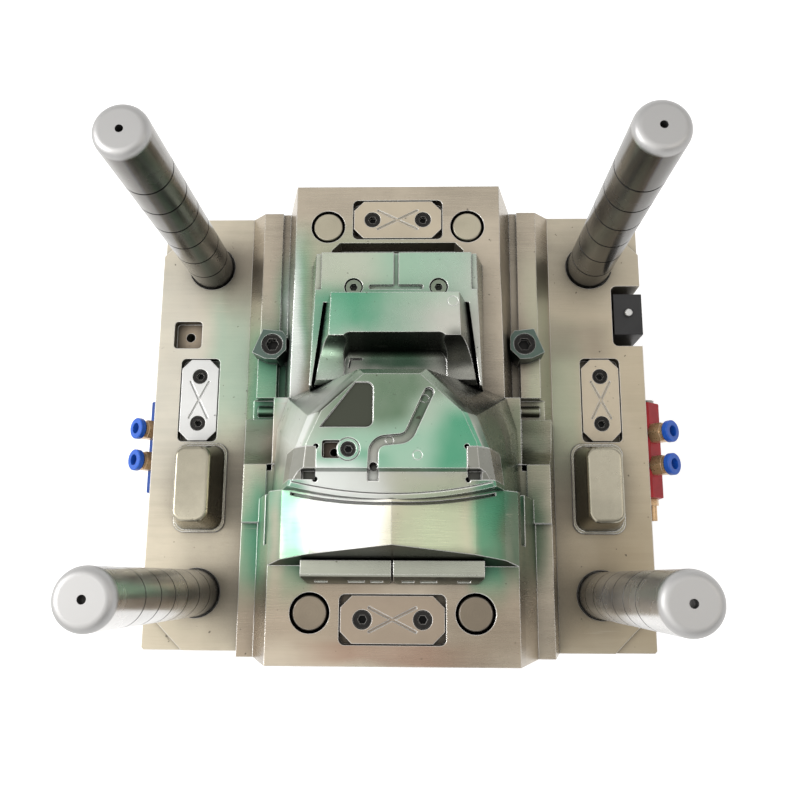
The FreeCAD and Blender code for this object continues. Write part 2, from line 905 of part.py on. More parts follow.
def eyebolt_holes():
    """Threaded holes for eyebolts in the two end faces."""
    z = core_plate_floor + eyebolt_hole_height
    depth = eyebolt_hole_depth
    holes = []
    for side in (-1, 1):
        start = Vec(0, side * (plate_length / 2 + over), z)
        holes.append(Part.makeCylinder(eyebolt_hole_radius, depth + over, start, Vec(0, -side, 0)))
    return holes


# Core block


def rails():
    """Rail on the side X > 0: low rail, step, notch with its bar, curved ramp, pad and high rail."""
    end = plate_length / 2
    z = above(0)
    foot = core_slot_half_width
    low = prism_along_y([
        (rail_inner, z), (foot, z), (rail_outer, z + rail_height), (rail_inner, z + rail_height),
    ], rail_notch_end, end)
    step = block(rail_inner, rail_outer, rail_notch_start, rail_step_end, z, z + rail_step_height)
    notch_floor = z + rail_notch_height
    notch_top = z + rail_step_height + over
    notch = block(rail_inner, foot, rail_notch_end, rail_notch_start, notch_floor, notch_top)
    bar_y = (rail_notch_start + rail_notch_end) / 2
    bar_start = Vec(rail_inner, bar_y, z + rail_notch_height)
    bar = Part.makeCylinder(rail_notch_bar_radius, rail_outer - rail_inner, bar_start, Vec(1, 0, 0))
    low = low.fuse(step).cut(notch).fuse(bar)
    slope = prism_along_y([
        (ramp_inner, z), (foot, z), (rail_outer, z + pad_height), (ramp_inner, z + pad_height),
    ], -end, rail_notch_end)
    high = slope.common(ramp().fuse([
        block(pad_inner, foot, pad_end, pad_start, z, z + pad_height),
        block(low_rail_inner, foot, -end, pad_end, z, z + low_rail_height),
    ]))
    return low.fuse(high)


def ramp():
    """Curved ramp from the notch up to the pad."""
    z = above(0)
    y0 = rail_notch_end
    y1 = pad_start
    foot = Vec(ramp_inner, y0, z + ramp_start_height)
    head = Vec(ramp_inner, y1, z + pad_height)
    sag = (foot + head) * 0.5 - Vec(0, 0, ramp_sag)
    curve = Part.Arc(foot, sag, head).toShape()
    rest = Part.makePolygon([head, Vec(ramp_inner, y1, z), Vec(ramp_inner, y0, z), foot])
    face = Part.Face(Part.Wire([curve] + rest.Edges))
    return face.extrude(Vec(core_slot_half_width - ramp_inner, 0, 0))


def trapezoid(top_half, top, foot_half):
    """Section between the parting face and a height, wider at its foot."""
    return [(foot_half, above(0)), (top_half, above(top)), (-top_half, above(top)), (-foot_half, above(0))]


def upper_block():
    """Low block at the far end, with sloping aprons in front of it and the relief pocket."""
    end = plate_length / 2
    section = trapezoid(upper_block_half_width, upper_block_height, upper_block_foot)
    front = shoulder_back - block_overlap
    body = prism_along_y(section, front, end)
    top = above(upper_block_height)
    aprons = prism_along_x([
        (upper_block_front, top + over), (upper_block_front, top), (apron_break, above(apron_break_height)),
        (front - over, above(apron_end_height)), (front - over, top + over),
    ], -plate_width, plate_width)
    half = relief_pocket_half_width
    c = relief_pocket_chamfer
    back = relief_pocket_back
    pocket = prism([
        (half, upper_insert_back - over), (half, back - c), (half - c, back),
        (c - half, back), (-half, back - c), (-half, upper_insert_back - over),
    ], top - relief_pocket_depth, top + over)
    return body.cut([aprons, pocket])


def arch():
    """Lower block with the faceted arch, its leaning wall and the fluted sides."""
    end = plate_length / 2
    section = trapezoid(lower_block_half_width, lower_block_height, lower_block_foot)
    body = prism_along_y(section, -end, core_front_y + arch_overlap)
    wall_y = lower_block_back
    rise = arch_ridge_height - lower_block_height + over
    foot = above(lower_block_height)
    vault = prism_along_y(arch_outline(0), wall_y, core_front_y + arch_overlap)
    wall = prism_along_x([
        (wall_y - over, foot), (wall_y, foot), (wall_y + arch_wall_lean * rise, foot + rise),
        (wall_y - over, foot + rise),
    ], -plate_width, plate_width)
    body = body.fuse(vault.cut(wall))
    lean = (lower_block_foot - lower_block_half_width) / lower_block_height
    flute_x = lower_block_half_width + lean * (lower_block_height - side_flute_height)
    flute_start = Vec(flute_x, side_flute_end, above(side_flute_height))
    flute = Part.makeCylinder(side_flute_radius, plate_length, flute_start, Vec(0, 1, 0))
    body = body.cut(both_sides(flute))
    return body.cut([front_zone(), front_arc_groove()])


def core_block():
    """Core block: slab in the slot, saddle, rails, blocks and arch, with the insert pockets."""
    end = plate_length / 2
    slot = core_slot_half_width
    body = block(-slot, slot, -end, end, above(-core_slot_depth), above(0))
    saddle = block(-rail_inner, rail_inner, -end, end, above(0), above(valley_height))
    section = trapezoid(shoulder_half_width, shoulder_height, shoulder_foot)
    shoulder = prism_along_y(section, core_front_y - block_overlap, shoulder_back)
    body = body.fuse([saddle, shoulder, upper_block(), arch()] + both_sides(rails()))
    cuts = [upper_insert_pocket(), bridge_pocket(), tenon(above(shoulder_height) + over)]
    cuts.append(wear_pocket(0, wear_upper_y, above(upper_block_height), True))
    cuts.append(wear_pocket(0, wear_lower_y, above(lower_block_height), True))
    floor = above(-core_slot_depth) - over
    top = above(plateau_height)
    for x, y in four_places(return_pin_x, return_pin_y):
        cuts.append(post(x, y, floor, top, return_pin_mouth_radius))
    for (x, y), radius, height in ejector_pins:
        cuts.append(post(x, y, floor, top, radius + screw_clearance))
    cuts += [corner_clamp_space(), mirrored(corner_clamp_space())]
    cuts += core_screw_holes()
    cuts += tenon_screw_holes() + bridge_screw_holes()
    cuts += upper_screw_holes()
    cuts += corner_screw_holes()
    body = body.cut(cuts)
    body = lifter_cuts(body, above(-core_slot_depth) - over, above(shoulder_height) + over, loose_clearance)
    return body.removeSplitter()


def tenon_places():
    return mirror_places(tenon_screw_places)


def tenon_screw_length():
    """Shank from the sunk head through the core block into the tenon."""
    depth = core_slot_depth + tenon_floor
    return depth + insert_screw_engagement - head_room(tenon_screw)


def tenon_screw_holes():
    return holes_at(tenon_places(), above(-core_slot_depth), tenon_screw, tenon_screw_length(), down)


def bridge_screw_length():
    """Shank from the sunk head through the core block into the bridge insert."""
    depth = core_slot_depth + bridge_tenon_floor
    return depth + insert_screw_engagement - head_room(bridge_screw)


def bridge_screw_holes():
    places = mirror_places([bridge_screw_place])
    return holes_at(places, above(-core_slot_depth), bridge_screw, bridge_screw_length(), down)


def tenon(top):
    """Straight foot of the main core insert up to a level, which its pocket matches."""
    w = tenon_half_width
    return rounded_block(-w, w, tenon_front, tenon_back, above(tenon_floor), top, tenon_corner)


# Inserts


def rounded_path(path, z, radius):
    """Wire along a list of places, with an arc of the given radius at each bend."""
    points = [Vec(x, y, z) for x, y in path]
    edges = []
    start = points[0]
    for before, bend, after in zip(points, points[1:], points[2:]):
        inward = (before - bend).normalize()
        outward = (after - bend).normalize()
        half_angle = inward.getAngle(outward) / 2
        reach = radius / math.tan(half_angle)
        first = bend + inward * reach
        last = bend + outward * reach
        middle_line = (inward + outward).normalize()
        middle = bend + middle_line * (radius / math.sin(half_angle) - radius)
        edges.append(Part.makeLine(start, first))
        edges.append(Part.Arc(first, middle, last).toShape())
        start = last
    edges.append(Part.makeLine(start, points[-1]))
    return Part.Wire(edges)


def runner():
    """S-shaped groove with round ends and smooth bends."""
    z0 = above(plateau_height - runner_depth)
    z1 = above(plateau_height) + over
    half = runner_width / 2
    spine = rounded_path(runner_path, z0, runner_bend)
    along = (spine.Vertexes[1].Point - spine.Vertexes[0].Point).normalize()
    across = Vec(-along.y, along.x, 0) * half
    start = spine.Vertexes[0].Point
    rise = Vec(0, 0, z1 - z0)
    corners = [start + across, start - across, start - across + rise, start + across + rise]
    section = Part.makePolygon(corners + corners[:1])
    groove = spine.makePipeShell([section], True, True)
    ends = [post(x, y, z0, z1, half) for x, y in (runner_path[0], runner_path[-1])]
    return groove.fuse(ends)


def slot_chain(path, width, z0, z1):
    """Straight slots with round joints along a list of places."""
    parts = [post(x, y, z0, z1, width / 2) for x, y in path]
    for (xa, ya), (xb, yb) in zip(path, path[1:]):
        run = math.hypot(xb - xa, yb - ya)
        nx = (ya - yb) / run * width / 2
        ny = (xb - xa) / run * width / 2
        corners = [(xa + nx, ya + ny), (xa - nx, ya - ny), (xb - nx, yb - ny), (xb + nx, yb + ny)]
        parts.append(prism(corners, z0, z1))
    return parts[0].fuse(parts[1:]).removeSplitter()


def above_front_strip(lowered):
    """Space above the bevel and the sloping strip at the plateau's front, lowered by an amount."""
    start = front_strip_start
    bevel_end = start - front_strip_bevel_width
    top = above(plateau_height) - lowered
    bevel_foot = top - front_strip_bevel_drop
    run = bevel_end - (core_front_y - core_front_sag)
    drop = plateau_height - front_strip_bevel_drop - front_strip_end_height
    far = bevel_end - 2 * run
    lid = above(plateau_height) + over
    return prism_along_x([
        (start, top), (bevel_end, bevel_foot), (far, bevel_foot - 2 * drop), (far, lid), (start, lid),
    ], -plate_width, plate_width)


def insert_core():
    """Hill of the main core insert with its front edge and front strip, without bores."""
    return core_hill().common(front_zone()).cut(above_front_strip(0))


def front_line():
    """Thin line in the front strip, behind the curved front edge."""
    ring = front_arc_ring(-front_line_inset - front_line_width, front_line_width)
    return ring.common(above_front_strip(front_line_depth))


def main_core_insert():
    """Main core insert with plateau details, tenon, pin bores and lifter pockets."""
    body = insert_core().fuse(tenon(above(shoulder_height)))
    top = above(plateau_height)
    head_floor = above(plateau_height - lifter_head_depth)
    cuts = [runner()]
    recess = prism(recess_outline, top - recess_depth, top + over)
    inner_edges = [e for e in upright_edges(recess) if e.Vertexes[0].X > recess_outline[-1][0] + over]
    cuts.append(recess.makeFillet(recess_corner, inner_edges))
    px, py = pocket_centre
    pocket = rounded_block(
        px - pocket_length / 2, px + pocket_length / 2, py - pocket_width / 2, py + pocket_width / 2,
        top - pocket_depth, top + over, pocket_corner,
    )
    cx, cy = cap_screw_centre
    cuts.append(pocket.cut(post(cx, cy, above(0), top + pocket_depth, cap_ring_radius)))
    hx, hy = pocket_hole_offset
    cuts.append(post(px + hx, py + hy, above(tenon_floor) - over, top, pocket_hole_radius))
    ring = post(cx, cy, top - cap_ring_depth, top + over, cap_ring_radius)
    island = post(cx, cy, top - pocket_depth, top + pocket_depth, cap_ring_radius - cap_ring_width)
    cuts.append(ring.cut(island))
    cuts.append(placed(screw_hole(plateau_screw, plateau_screw_shank), cx, cy, top))
    gate_x0 = runner_path[0][0] - gate_width / 2
    gate_floor = top - gate_depth
    cuts.append(block(gate_x0, gate_x0 + gate_width, gate_end, front_strip_start, gate_floor, top + over))
    slit = [vent_slit_start, vent_slit_end]
    cuts.append(slot_chain(slit, vent_slit_width, top - vent_slit_depth, top + over))
    for (x, y), radius, height in ejector_pins:
        if height > bridge_height:
            cuts.append(post(x, y, above(tenon_floor) - over, top + over, radius + running_clearance))
    cuts += both_sides(lifter_head_space(slide_clearance))
    for y in (lifter_head_front, lifter_head_back):
        relief = leaning_post(lifter_head_inner, y, lifter_relief_radius, head_floor, top + over)
        cuts += both_sides(relief)
    cuts.append(front_line())
    cuts += tenon_screw_holes()
    body = body.cut(cuts)
    return lifter_cuts(body, above(tenon_floor) - over, head_floor + over, loose_clearance)


def upper_insert_body():
    """Upper core insert without its bores: leaning sides over a straight foot."""
    z0 = above(upper_insert_floor)
    z1 = above(upper_block_height)
    z2 = above(upper_insert_height)
    back = upper_insert_back
    front = upper_insert_front
    foot = block(-upper_insert_foot, upper_insert_foot, front, back, z0, z1)
    lower = symmetric([(upper_insert_foot, back), (upper_insert_foot, front)], z1)
    upper = symmetric([(upper_insert_half_width, back), (upper_insert_front_half_width, front)], z2)
    return foot.fuse(Part.makeLoft([lower, upper], True, True))


def upper_insert_pocket():
    """Pocket of the core block for the upper insert, open above it."""
    w = upper_insert_foot
    top = above(plateau_height)
    return block(-w, w, upper_insert_front, upper_insert_back, above(upper_insert_floor), top)


def bridge_base_outline(gap):
    """Outline of the bridge insert's foot with a gap at its sides."""
    back = bridge_back + over
    right = [(bridge_base_half_width + gap, back), (bridge_leg_half_width + gap, bridge_foot_front)]
    return right + [(-x, y) for x, y in reversed(right)]


def bridge_body():
    """Bridge insert: leaning block with a swept and hollowed front over a straight foot."""
    z_foot = above(bridge_foot_height)
    z_top = above(bridge_height)
    top_outline = [(bridge_half_width - over, bridge_back), (bridge_half_width, bridge_front)]
    foot = prism(bridge_base_outline(0), above(bridge_tenon_floor), z_foot)
    base = closed_wire([(x, y, z_foot) for x, y in bridge_base_outline(0)])
    hill = Part.makeLoft([base, symmetric(top_outline, z_top)], True, True)
    sweep_start = Vec(-plate_width, bridge_foot_front, z_top)
    sweep_radius = bridge_front - bridge_foot_front
    sweep = Part.makeCylinder(sweep_radius, 2 * plate_width, sweep_start, Vec(1, 0, 0))
    floor = above(bridge_hollow_floor)
    slit = slot_chain(bridge_slit_path, bridge_slit_width, floor - bridge_slit_depth, z_top)
    return foot.fuse(hill).cut([sweep, bridge_hollow(), slit])


def bridge_hollow():
    """Hollow in the bridge insert's front, with a leaning wall and rounded inner edges."""
    z_top = above(bridge_height)
    floor = above(bridge_hollow_floor)
    foot_y = bridge_hollow_wall_foot
    lean = (bridge_front + bridge_hollow_setback - foot_y) / (z_top - floor)
    lid = z_top + over
    front = bridge_foot_front - over
    half = bridge_hollow_half_width
    hollow = prism_along_x([
        (foot_y, floor), (foot_y + lean * (lid - floor), lid), (front, lid), (front, floor),
    ], -half, half)
    inner_edges = []
    for edge in hollow.Edges:
        ends = [vertex.Point for vertex in edge.Vertexes]
        on_wall = min(end.y for end in ends) > foot_y - small_chamfer
        if on_wall and min(end.z for end in ends) < z_top:
            inner_edges.append(edge)
    return hollow.makeFillet(bridge_hollow_corner, inner_edges)


def bridge_pocket():
    """Pocket of the core block below the upper insert for the bridge insert's foot."""
    return prism(bridge_base_outline(0), above(bridge_tenon_floor), above(upper_insert_floor) + over)


def upper_core_insert():
    """Upper core insert with vent grooves, side steps and screw recesses, trimmed to its neighbours."""
    z = above(upper_insert_height)
    body = upper_insert_body().cut([bridge_envelope(), core_hill()])
    back = upper_insert_back
    step = upper_insert_edge_step
    start = back - upper_insert_edge_length
    edge = block(upper_insert_half_width - step, upper_insert_foot, start, back + over, z - step, z + over)
    cuts = both_sides(edge)
    half_line = vent_line_half_length
    line = [(-half_line, vent_line_y), (half_line, vent_line_y)]
    cuts.append(slot_chain(line, vent_width, z - vent_depth, z + over))
    cuts.append(block(-vent_width / 2, vent_width / 2, vent_line_y, back + over, z - vent_depth, z + over))
    cuts += upper_screw_holes()
    return body.cut(cuts)


def bridge_envelope():
    """Space between the legs of the upper insert, with a parting gap round the bridge insert."""
    z0 = above(upper_insert_floor) - over
    z1 = above(bridge_height)
    reach = bridge_leg_half_width + bridge_parting_gap
    mouth = block(-reach, reach, upper_insert_front - over, bridge_foot_front, z0, z1)
    return prism(bridge_base_outline(bridge_parting_gap), z0, z1).fuse(mouth)


def bridge_insert():
    """Bridge insert, trimmed to the main core insert, with its screw and pin bores."""
    body = bridge_body().cut(core_hill())
    cuts = bridge_screw_holes()
    for (x, y), radius, height in ejector_pins:
        if height <= bridge_height:
            cuts.append(post(x, y, above(0), above(bridge_height) + over, radius + running_clearance))
    return body.cut(cuts)


def upper_screw_holes():
    """Recesses and holes of the two screws in the upper insert."""
    z = above(upper_insert_height)
    cuts = []
    for x, y in mirror_places([(upper_screw_x, upper_screw_y)]):
        cuts.append(placed(screw_hole(upper_screw, upper_screw_length()), x, y, z))
        cuts.append(post(x, y, z - head_room(upper_screw), z + over, upper_screw_recess_radius))
    return cuts


def upper_screw_length():
    """Shank from the sunk head through the upper insert into the core block."""
    depth = upper_insert_height - upper_insert_floor
    return depth + upper_screw_engagement - head_room(upper_screw)


def front_bar(core):
    """Front bar on the side X > 0, trimmed to the arch's leaning wall."""
    z0 = above(lower_block_height)
    z1 = z0 + front_bar_height
    x0 = front_bar_gap / 2
    x1 = x0 + front_bar_length
    edge = front_bar_edge
    bar = prism_along_x([
        (front_bar_foot_front, z0), (front_bar_foot_front, z0 + front_bar_base),
        (front_bar_top_front, z1 - edge), (front_bar_top_front + edge, z1),
        (front_bar_back, z1), (lower_block_back, z0),
    ], x0, x1)
    slope = front_bar_foot_front - over
    cuts = [core]
    for x, away, c in ((x1, 1, front_bar_corner), (x0, -1, front_bar_inner_corner)):
        outline = [(x - away * c, slope), (x + away, slope), (x + away, front_bar_foot_front + c)]
        cuts.append(prism(outline, z0 - over, z1 + over))
    slot_floor = z0 + front_bar_slot_level
    for offset, width in front_bar_slots:
        x = x0 + offset
        slot_end = slope + front_bar_slot_depth
        cuts.append(block(x, x + width, slope, slot_end, slot_floor, slot_floor + front_bar_slot_height))
    return bar.cut(cuts)


# Wear plates, interlocks and corner clamps


def wear_pocket(x, y, z, along_x):
    """Pocket with rounded corners for a wear plate, and its screw holes."""
    half_x = (wear_length / 2 if along_x else wear_width / 2) + wear_gap
    half_y = (wear_width / 2 if along_x else wear_length / 2) + wear_gap
    floor = z - wear_thickness
    top = z + over
    pocket = rounded_block(x - half_x, x + half_x, y - half_y, y + half_y, floor, top, wear_pocket_corner)
    return pocket.fuse(wear_screw_holes(x, y, z, along_x))


def wear_places(x, y, along_x):
    d = wear_screw_spacing / 2
    return [(x - d, y), (x + d, y)] if along_x else [(x, y - d), (x, y + d)]


def wear_screw_holes(x, y, z, along_x):
    return holes_at(wear_places(x, y, along_x), z, wear_screw, wear_screw_shank)


def wear_plate(x, y, z, along_x):
    """Wear plate with chamfered corners, crossed oil grooves and two screw holes."""
    body = prism(eight_corners(wear_length / 2, wear_width / 2, wear_corner), -wear_thickness, 0)
    reach_x = wear_cross_length / 2
    reach_y = wear_cross_width / 2
    for side in (-1, 1):
        path = [(-reach_x, -side * reach_y), (reach_x, side * reach_y)]
        body = body.cut(slot_chain(path, wear_cross_line, -wear_cross_depth, over))
    d = wear_screw_spacing / 2
    body = body.cut(holes_at([(-d, 0), (d, 0)], 0, wear_screw, wear_screw_shank))
    if not along_x:
        body.rotate(Vec(0, 0, 0), Vec(0, 0, 1), 90)
    body.translate(Vec(x, y, z))
    return body


def interlock_layer(inset, z0, z1):
    """Block with the interlock's rounded outline, drawn in by an inset."""
    hx = interlock_base_x / 2 - inset
    hy = interlock_base_y / 2 - inset
    x = interlock_x
    y = interlock_y
    return rounded_block(x - hx, x + hx, y - hy, y + hy, z0, z1, interlock_corner)


def interlock_seat():
    """Pocket for the interlock's foot on the side X > 0."""
    return interlock_layer(0, parting_level - interlock_seat_depth, parting_level + over)


def interlock():
    """Tapered interlock boss on the side X > 0."""
    z = parting_level
    rim_top = z + interlock_rim
    foot = interlock_layer(0, z - interlock_seat_depth, rim_top)
    wires = []
    for inset, level in ((interlock_rim, rim_top), (interlock_rim + interlock_taper, z + interlock_height)):
        layer = interlock_layer(inset, level, level + over)
        face = min(layer.Faces, key=lambda f: f.CenterOfMass.z)
        wires.append(face.OuterWire)
    boss = Part.makeLoft(wires, True, True)
    rim = max(boss.Faces, key=lambda f: f.CenterOfMass.z)
    boss = boss.makeFillet(interlock_top_round, rim.Edges)
    return foot.fuse(boss).cut(interlock_screw_holes())


def corner_clamp_outline():
    """Outline of the corner clamp on the side X < 0, moved to its place."""
    return [(x - clamp_x, y + clamp_y) for x, y in clamp_outline]


def corner_clamp_space():
    """Seat of the corner clamp in the core block, open above it."""
    return prism(corner_clamp_outline(), above(clamp_seat_height), above(plateau_height))


def corner_screw_length():
    """Shank from the sunk head through the clamp into the rail."""
    return clamp_height - clamp_seat_height + corner_screw_engagement


def corner_places():
    return [(-clamp_x, clamp_y), (clamp_x, clamp_y)]


def corner_screw_holes():
    return holes_at(corner_places(), above(clamp_height), corner_screw, corner_screw_length())


def corner_clamp():
    """Corner clamp on the side X < 0."""
    body = prism(corner_clamp_outline(), above(clamp_seat_height), above(clamp_height))
    return body.cut(corner_screw_holes())


# Cycle counter


def counter_pocket():
    """Side pocket of the core plate for the counter."""
    outer = plate_width / 2 + 2 * counter_pocket_corner
    floor = parting_level - counter_pocket_depth
    return rounded_block(
        counter_pocket_inner, outer, counter_pocket_y0, counter_pocket_y1, floor, parting_level + over,
        counter_pocket_corner,
    )


def counter_body():
    """Black body of the counter with the plunger's bore and two screws."""
    z0 = parting_level - counter_pocket_depth
    body = block(counter_body_inner, counter_body_outer, counter_body_y0, counter_body_y1, z0, parting_level)
    bore = post(
        counter_plunger_x, counter_plunger_y, parting_level - counter_bore_depth, parting_level + over,
        counter_plunger_radius + running_clearance,
    )
    return body.cut([bore] + counter_screw_holes())


def counter_screw_places():
    middle = (counter_body_y0 + counter_body_y1) / 2
    return [middle - counter_screw_y, middle + counter_screw_y]


def counter_screw_holes():
    z = parting_level - counter_screw_depth
    hole = screw_hole(counter_screw, counter_body_outer - counter_pocket_inner)
    return [placed(hole, counter_body_outer, y, z, Vec(1, 0, 0)) for y in counter_screw_places()]


def counter_screws():
    z = parting_level - counter_screw_depth
    sunk = cap_screw(counter_screw, counter_screw_shank)
    sunk.translate(Vec(0, 0, -screw_head_sink))
    return [placed(sunk, counter_body_outer, y, z, Vec(1, 0, 0)) for y in counter_screw_places()]


def counter_plunger():
    """Plunger that the closing mould presses down."""
    top = parting_level + counter_plunger_stand_out
    floor = top - counter_plunger_length
    body = post(counter_plunger_x, counter_plunger_y, floor, top, counter_plunger_radius)
    return body.makeChamfer(small_chamfer, top_rim(body, top))


# Water manifolds


def manifold_sizes(side):
    """Middle along Y, outer face and top level of a side's manifold."""
    inner = plate_width / 2
    if side < 0:
        return manifold_left_y, inner + manifold_left_thickness, parting_level - manifold_left_drop
    return manifold_right_y, inner + manifold_right_thickness, parting_level - manifold_right_drop


def manifold_outline(side):
    """Section of the manifold, drawn at X > 0: strip, leaning face and straight sides."""
    inner = plate_width / 2
    middle, outer, top = manifold_sizes(side)
    fall = (outer - inner - manifold_top_strip) / math.tan(math.radians(fitting_elevation))
    return [
        (inner, top - manifold_height), (outer, top - manifold_height), (outer, top - fall),
        (inner + manifold_top_strip, top), (inner, top),
    ]


def fitting_axis(side):
    """Direction in which a fitting points."""
    angle = math.radians(fitting_elevation)
    return Vec(side * math.cos(angle), 0, math.sin(angle))


def fitting_seats(side):
    """Seat centres of the two fittings on the leaning face."""
    angle = math.radians(fitting_elevation)
    middle, outer, top = manifold_sizes(side)
    x = plate_width / 2 + manifold_top_strip + fitting_seat_along * math.sin(angle)
    z = top - fitting_seat_along * math.cos(angle)
    return [Vec(side * x, middle + shift, z) for shift in (-fitting_spacing / 2, fitting_spacing / 2)]


def water_manifold(side):
    """Manifold block with threaded seats, end ports and screw holes."""
    middle, reach, top = manifold_sizes(side)
    y0 = middle - manifold_length / 2
    y1 = middle + manifold_length / 2
    body = prism_along_y(manifold_outline(side), y0, y1)
    if side < 0:
        body = mirrored(body)
    outer = side * reach
    c = manifold_end_chamfer
    z0 = top - manifold_height - over
    for y, toward in ((y0, 1), (y1, -1)):
        outline = [(outer + side, y - toward), (outer - side * c, y - toward), (outer + side, y + toward * c)]
        body = body.cut(prism(outline, z0, parting_level))
    cuts = []
    for seat in fitting_seats(side):
        depth = fitting_thread_length
        thread = Part.makeCylinder(fitting_thread_radius, depth + over, Vec(0, 0, -depth))
        cuts.append(placed(thread, seat.x, seat.y, seat.z, fitting_axis(side)))
    cuts += manifold_holes(side)
    if side > 0:
        cuts.append(placed(plug_solid(), *port_place(y1), Vec(0, 1, 0)))
        cuts.append(placed(nipple_thread(), *port_place(y0), Vec(0, -1, 0)))
    return body.cut(cuts)


def port_place(y):
    """Centre of an end port of the manifold on the side X > 0."""
    middle, outer, top = manifold_sizes(1)
    z = top - manifold_height / 2 - port_drop
    return ((plate_width / 2 + outer) / 2 + port_shift, y, z)


def plug_solid():
    """Round socket plug at the origin, standing a little out of its port along Z."""
    body = Part.makeCylinder(plug_radius, plug_length + port_depth, Vec(0, 0, -port_depth))
    return body.cut(hexagon(plug_radius, plug_length - plug_socket_depth, plug_length + over))


def nipple_thread():
    return Part.makeCylinder(nipple_radius, port_depth, Vec(0, 0, -port_depth))


def nipple_solid():
    """Brass nipple at the origin along Z: hexagon, then a tube."""
    body = hexagon(nipple_hex_width, 0, nipple_hex_length)
    body = body.fuse([Part.makeCylinder(nipple_radius, nipple_length), nipple_thread()])
    start = -port_depth - over
    bore = Part.makeCylinder(nipple_radius - nipple_wall, nipple_length - start + over, Vec(0, 0, start))
    return body.cut(bore)


def manifold_screw_places(side):
    """Outer ends of the manifold's two screws."""
    middle, outer, top = manifold_sizes(side)
    z = top - manifold_height / 2 - manifold_screw_drop
    return [(side * outer, middle + shift, z) for shift in (-manifold_screw_offset, manifold_screw_offset)]


def manifold_screw_length(side):
    """Shank that leaves the sunk head and ends in the core plate."""
    middle, outer, top = manifold_sizes(side)
    return outer - plate_width / 2 + manifold_screw_engagement


def manifold_holes(side):
    hole = screw_hole(manifold_screw, manifold_screw_length(side))
    return [placed(hole, x, y, z, Vec(side, 0, 0)) for x, y, z in manifold_screw_places(side)]


def manifold_screw_holes():
    return manifold_holes(-1) + manifold_holes(1)


def manifold_screws():
    screws = []
    for side in (-1, 1):
        sunk = cap_screw(manifold_screw, manifold_screw_length(side))
        sunk.translate(Vec(0, 0, -screw_head_sink))
        screws += [placed(sunk, *place, Vec(side, 0, 0)) for place in manifold_screw_places(side)]
    return screws


def fitting_top():
    return fitting_hex_height + fitting_neck_height


def fitting_body():
    """Brass body of a push-in fitting, seated at the origin along Z."""
    body = hexagon(fitting_hex_width, 0, fitting_hex_height)
    depth = fitting_thread_length
    thread = Part.makeCylinder(fitting_thread_radius, depth, Vec(0, 0, -depth))
    neck = Part.makeCylinder(fitting_neck_radius, fitting_top())
    body = body.fuse([thread, neck])
    sleeve = Vec(0, 0, fitting_top() - fitting_sleeve_depth)
    bore = Part.makeCylinder(fitting_sleeve_radius + running_clearance, fitting_sleeve_depth + over, sleeve)
    through = Part.makeCylinder(fitting_bore_radius, 2 * fitting_top(), Vec(0, 0, -depth - over))
    return body.cut([bore, through])


def fitting_collar():
    """Release collar of a push-in fitting: flange with a sleeve that runs in the body."""
    flange_floor = fitting_top() + collar_travel + collar_end_gap
    sleeve_floor = fitting_top() - fitting_sleeve_depth + collar_travel + collar_end_gap
    top = flange_floor + collar_height
    flange = Part.makeCylinder(collar_radius, collar_height, Vec(0, 0, flange_floor))
    flange = flange.makeChamfer(small_chamfer, top_rim(flange, top))
    sleeve = Part.makeCylinder(fitting_sleeve_radius, top - sleeve_floor, Vec(0, 0, sleeve_floor))
    hose = Part.makeCylinder(hose_radius, top, Vec(0, 0, sleeve_floor - over))
    return flange.fuse(sleeve).cut(hose)


# Ejector system


def ejector_plate_outline():
    return plate_width - 2 * spacer_width - 2 * ejector_side_gap


def plate_through_cuts():
    """Openings that both ejector plates share: guide bushes and support pillars."""
    z0 = ejector_floor - over
    z1 = retainer_top + over
    cuts = [post(x, y, z0, z1, guide_bush_radius) for x, y in four_places(guide_pin_x, guide_pin_y)]
    gap = support_pillar_clearance
    cuts += [post(x, y, z0, z1, support_pillar_radius + gap) for x, y in support_pillar_places]
    return cuts


def ejector_screw_length():
    """Shank from the sunk head through the base plate into the retainer plate."""
    return ejector_base_thickness + ejector_screw_engagement - head_room(ejector_screw)


def ejector_screw_holes():
    places = mirror_places(ejector_screw_places)
    return holes_at(places, ejector_floor, ejector_screw, ejector_screw_length(), down)


def ejector_base_plate():
    """Base plate under the pin heads, with the ejector rod's thread."""
    width = ejector_plate_outline()
    body = chamfered_plate(width, ejector_plate_length, ejector_floor, retainer_floor)
    cuts = plate_through_cuts()
    cuts += ejector_screw_holes()
    thread_end = ejector_floor + knock_out_thread_depth
    cuts.append(post(0, 0, ejector_floor - over, thread_end, knock_out_thread_radius))
    flange_floor = retainer_floor - guide_bush_flange_height
    for x, y in four_places(guide_pin_x, guide_pin_y):
        cuts.append(post(x, y, flange_floor, retainer_floor + over, guide_bush_flange_radius))
    return body.cut(cuts)


def ejector_retainer_plate():
    """Retainer plate that holds the pin heads and the lifters' shoes."""
    width = ejector_plate_outline()
    z0 = retainer_floor
    z1 = retainer_top
    body = chamfered_plate(width, ejector_plate_length, z0, z1)
    cuts = plate_through_cuts()
    cuts += ejector_screw_holes()
    for x, y in four_places(return_pin_x, return_pin_y):
        cuts.append(post(x, y, z0 - over, z1 + over, return_pin_radius))
        cuts.append(post(x, y, z0 - over, z0 + return_pin_head_height, return_pin_head_radius))
    for (x, y), radius, height in ejector_pins:
        cuts.append(post(x, y, z0 - over, z1 + over, radius))
        cuts.append(post(x, y, z0 - over, z0 + ejector_pin_head_height, radius + ejector_pin_head_rim))
    cuts += both_sides(shoe_space())
    cuts += both_sides(rod_slot())
    return body.cut(cuts)


def lifter_travel():
    """Inward travel of the lifter over the whole stroke."""
    return lifter_slope * ejector_stroke


def shoe_bounds():
    """X limits of the lifter's shoe at rest on the side X > 0."""
    x = lifter_x(retainer_floor, lifter_axis_x)
    return x - lifter_shoe_length / 2, x + lifter_shoe_length / 2


